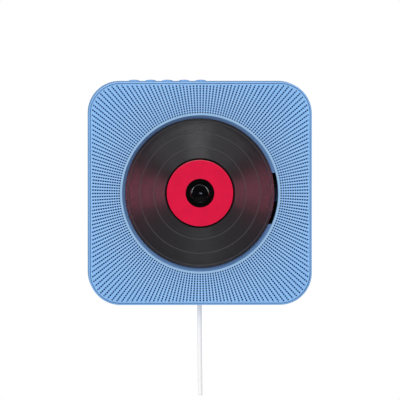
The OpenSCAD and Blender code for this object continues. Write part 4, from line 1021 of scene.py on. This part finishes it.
class PLAYER_OT_stage(bpy.types.Operator):
    """Sets the floor, the white surroundings, the lamps and the camera"""

    bl_idname = "disc_player.stage"
    bl_label = "Stage"

    def execute(self, context):
        scene = context.scene
        look = scene.disc_player.stage
        scene.view_settings.view_transform = "Standard"
        front = -depth_range("side_frame")[1]
        self.lay_floor()
        self.light_world(scene, look)
        self.set_lamps(front, look)
        self.set_camera(scene, front, look)
        return {"FINISHED"}

    def lay_floor(self):
        """A round plate below the cord: rings of growing radius, and the same rings back below."""
        top, thick, middle_y, columns = -0.26, 0.004, -0.02, 96
        a, radii = angles(columns), np.linspace(0.02, 0.9, 8)
        x, y = np.outer(radii, np.cos(a)), np.outer(radii, np.sin(a)) + middle_y
        bed = np.stack([x, y, np.full_like(x, top)], axis=-1)
        floor = skin("studio_floor", [np.concatenate([bed, bed[::-1] - np.array([0, 0, thick])])])
        paint = Paint("floor_white", (0.88, 0.88, 0.88), 0.8)
        broad = paint.noise(0.2, 3)
        paint.set("Base Color", paint.mix(broad, (0.87, 0.87, 0.87), (0.89, 0.89, 0.89)))
        floor.data.materials.append(paint.material)

    def light_world(self, scene, look):
        """Even light, weaker where a shiny piece mirrors it, and plain white behind the player."""
        world = scene.world or bpy.data.worlds.new("studio")
        scene.world = world
        world.use_nodes = True
        tree = world.node_tree
        tree.nodes.clear()

        def background(colour, strength):
            node = tree.nodes.new("ShaderNodeBackground")
            node.inputs["Color"].default_value = (*colour, 1)
            node.inputs["Strength"].default_value = strength
            return node.outputs[0]

        def either(share, first, second):
            node = tree.nodes.new("ShaderNodeMixShader")
            for source, socket in zip((share, first, second), node.inputs):
                tree.links.new(source, socket)
            return node.outputs[0]

        path = tree.nodes.new("ShaderNodeLightPath")
        seen = tree.nodes.new("ShaderNodeMath")
        seen.operation = "MAXIMUM"
        tree.links.new(path.outputs["Is Camera Ray"], seen.inputs[0])
        tree.links.new(path.outputs["Is Transmission Ray"], seen.inputs[1])
        even = background(DAYLIGHT, look.daylight)
        dim = background(DAYLIGHT, look.mirrored)
        unseen = either(path.outputs["Is Glossy Ray"], even, dim)
        shown = either(seen.outputs[0], unseen, background(WHITE, 1.0))
        output = tree.nodes.new("ShaderNodeOutputWorld")
        tree.links.new(shown, output.inputs["Surface"])

    def set_lamps(self, front, look):
        """The main lamp, and the lamps that shiny pieces mirror, each on its own pieces."""
        target = (0, front, 0)
        disc, label, hub, cord = (
            (piece,) for piece in ("grooved_disc", "label_ring", "domed_hub", "braided_cord")
        )
        caps = (f"button_cap_{number}" for number in range(1, BUTTON_COUNT + 1))
        shell = ("side_frame", "front_grille", *caps)
        key_at, sky_at = (-0.6, -1.9, 0.9), (0, -6.6, 5.4)
        softbox("key", key_at, target, (1.6, 1.6), look.key, diffuse=True, glossy=False)
        softbox("top_box", sky_at, target, (1.8, 2.7), 400.0, on=disc, through=True)
        softbox("sky_box", sky_at, target, (13.2, 2.4), 792.0, on=disc, through=True)
        softbox("label_box", (0, -1.1, 0.9), target, (2.0, 0.4), 36.0, on=label)
        softbox("edge_box", (-0.25, -1.0, 1.3), target, (2.0, 0.8), 46.0, on=shell)
        red = (1, 0.19, 0.33)
        for side, name, power in ((-1, "left", 1260.0), (1, "right", 1480.0)):
            strip_at, glint_at = (side * 6.0, -6.6, 0.0), (side * 0.9, -0.7, 0.38)
            softbox(name + "_strip", strip_at, target, (1.3, 3.6), power, red, disc, through=True)
            softbox(name + "_glint", glint_at, target, (0.26, 0.9), 120.0, on=hub, through=True)
        softbox("crown_glint", (0, -0.7, 0.9), target, (1.6, 0.26), 34.0, on=hub, through=True)
        eye_at, eye_blue = (0.08, -1.2, -0.04), (0.68, 0.78, 1)
        softbox("eye_glint", eye_at, target, (0.16, 0.06), 1.9, eye_blue, on=hub)
        fill_at, cord_middle, warm = (-0.5, -1.0, -0.2), (0, front, -0.11), (1, 0.98, 0.96)
        softbox("cord_fill", fill_at, cord_middle, (0.8, 0.5), 2.3, warm, cord, True, diffuse=True)

    def set_camera(self, scene, front, look):
        """The camera stands far off, a little to the left of the player and above it."""
        turn, climb = math.radians(-1.7), math.radians(1.7)
        sensor = 36.0
        level_way = math.cos(climb)
        back = Vector((math.sin(turn) * level_way, -math.cos(turn) * level_way, math.sin(climb)))
        centre = Vector((-0.0002, front, -0.0053))
        data = bpy.data.cameras.new("photo_camera")
        camera = bpy.data.objects.new("photo_camera", data)
        scene.collection.objects.link(camera)
        camera.location = centre + back * look.distance
        aim(camera, -back)
        data.sensor_width = sensor
        data.lens = sensor * look.distance / look.width
        data.clip_start, data.clip_end = 0.1, 20
        data.dof.use_dof = False
        scene.camera = camera


class PLAYER_PT_sidebar(bpy.types.Panel):
    """The player's pieces and looks"""

    bl_idname = "PLAYER_PT_sidebar"
    bl_label = "Disc Player"
    bl_space_type = "VIEW_3D"
    bl_region_type = "UI"
    bl_category = "Disc Player"

    def draw(self, context):
        look = context.scene.disc_player
        for group in (look.housing, look.disc, look.cord, look.stage):
            box = self.layout.box()
            for key in group.__annotations__:
                box.prop(group, key)
        for step in STEPS:
            self.layout.operator(step.bl_idname)


STEPS = (
    PLAYER_OT_housing,
    PLAYER_OT_net,
    PLAYER_OT_buttons,
    PLAYER_OT_disc,
    PLAYER_OT_hub,
    PLAYER_OT_screws,
    PLAYER_OT_cord,
    PLAYER_OT_works,
    PLAYER_OT_stage,
)
CLASSES = (HousingLook, DiscLook, CordLook, StageLook, PlayerLook, *STEPS, PLAYER_PT_sidebar)


def register():
    for cls in CLASSES:
        bpy.utils.register_class(cls)
    bpy.types.Scene.disc_player = bpy.props.PointerProperty(type=PlayerLook)


def unregister():
    del bpy.types.Scene.disc_player
    for cls in reversed(CLASSES):
        bpy.utils.unregister_class(cls)


def main():
    register()
    for step in STEPS:
        group, name = step.bl_idname.split(".")
        getattr(getattr(bpy.ops, group), name)()


if __name__ == "__main__":
    main()
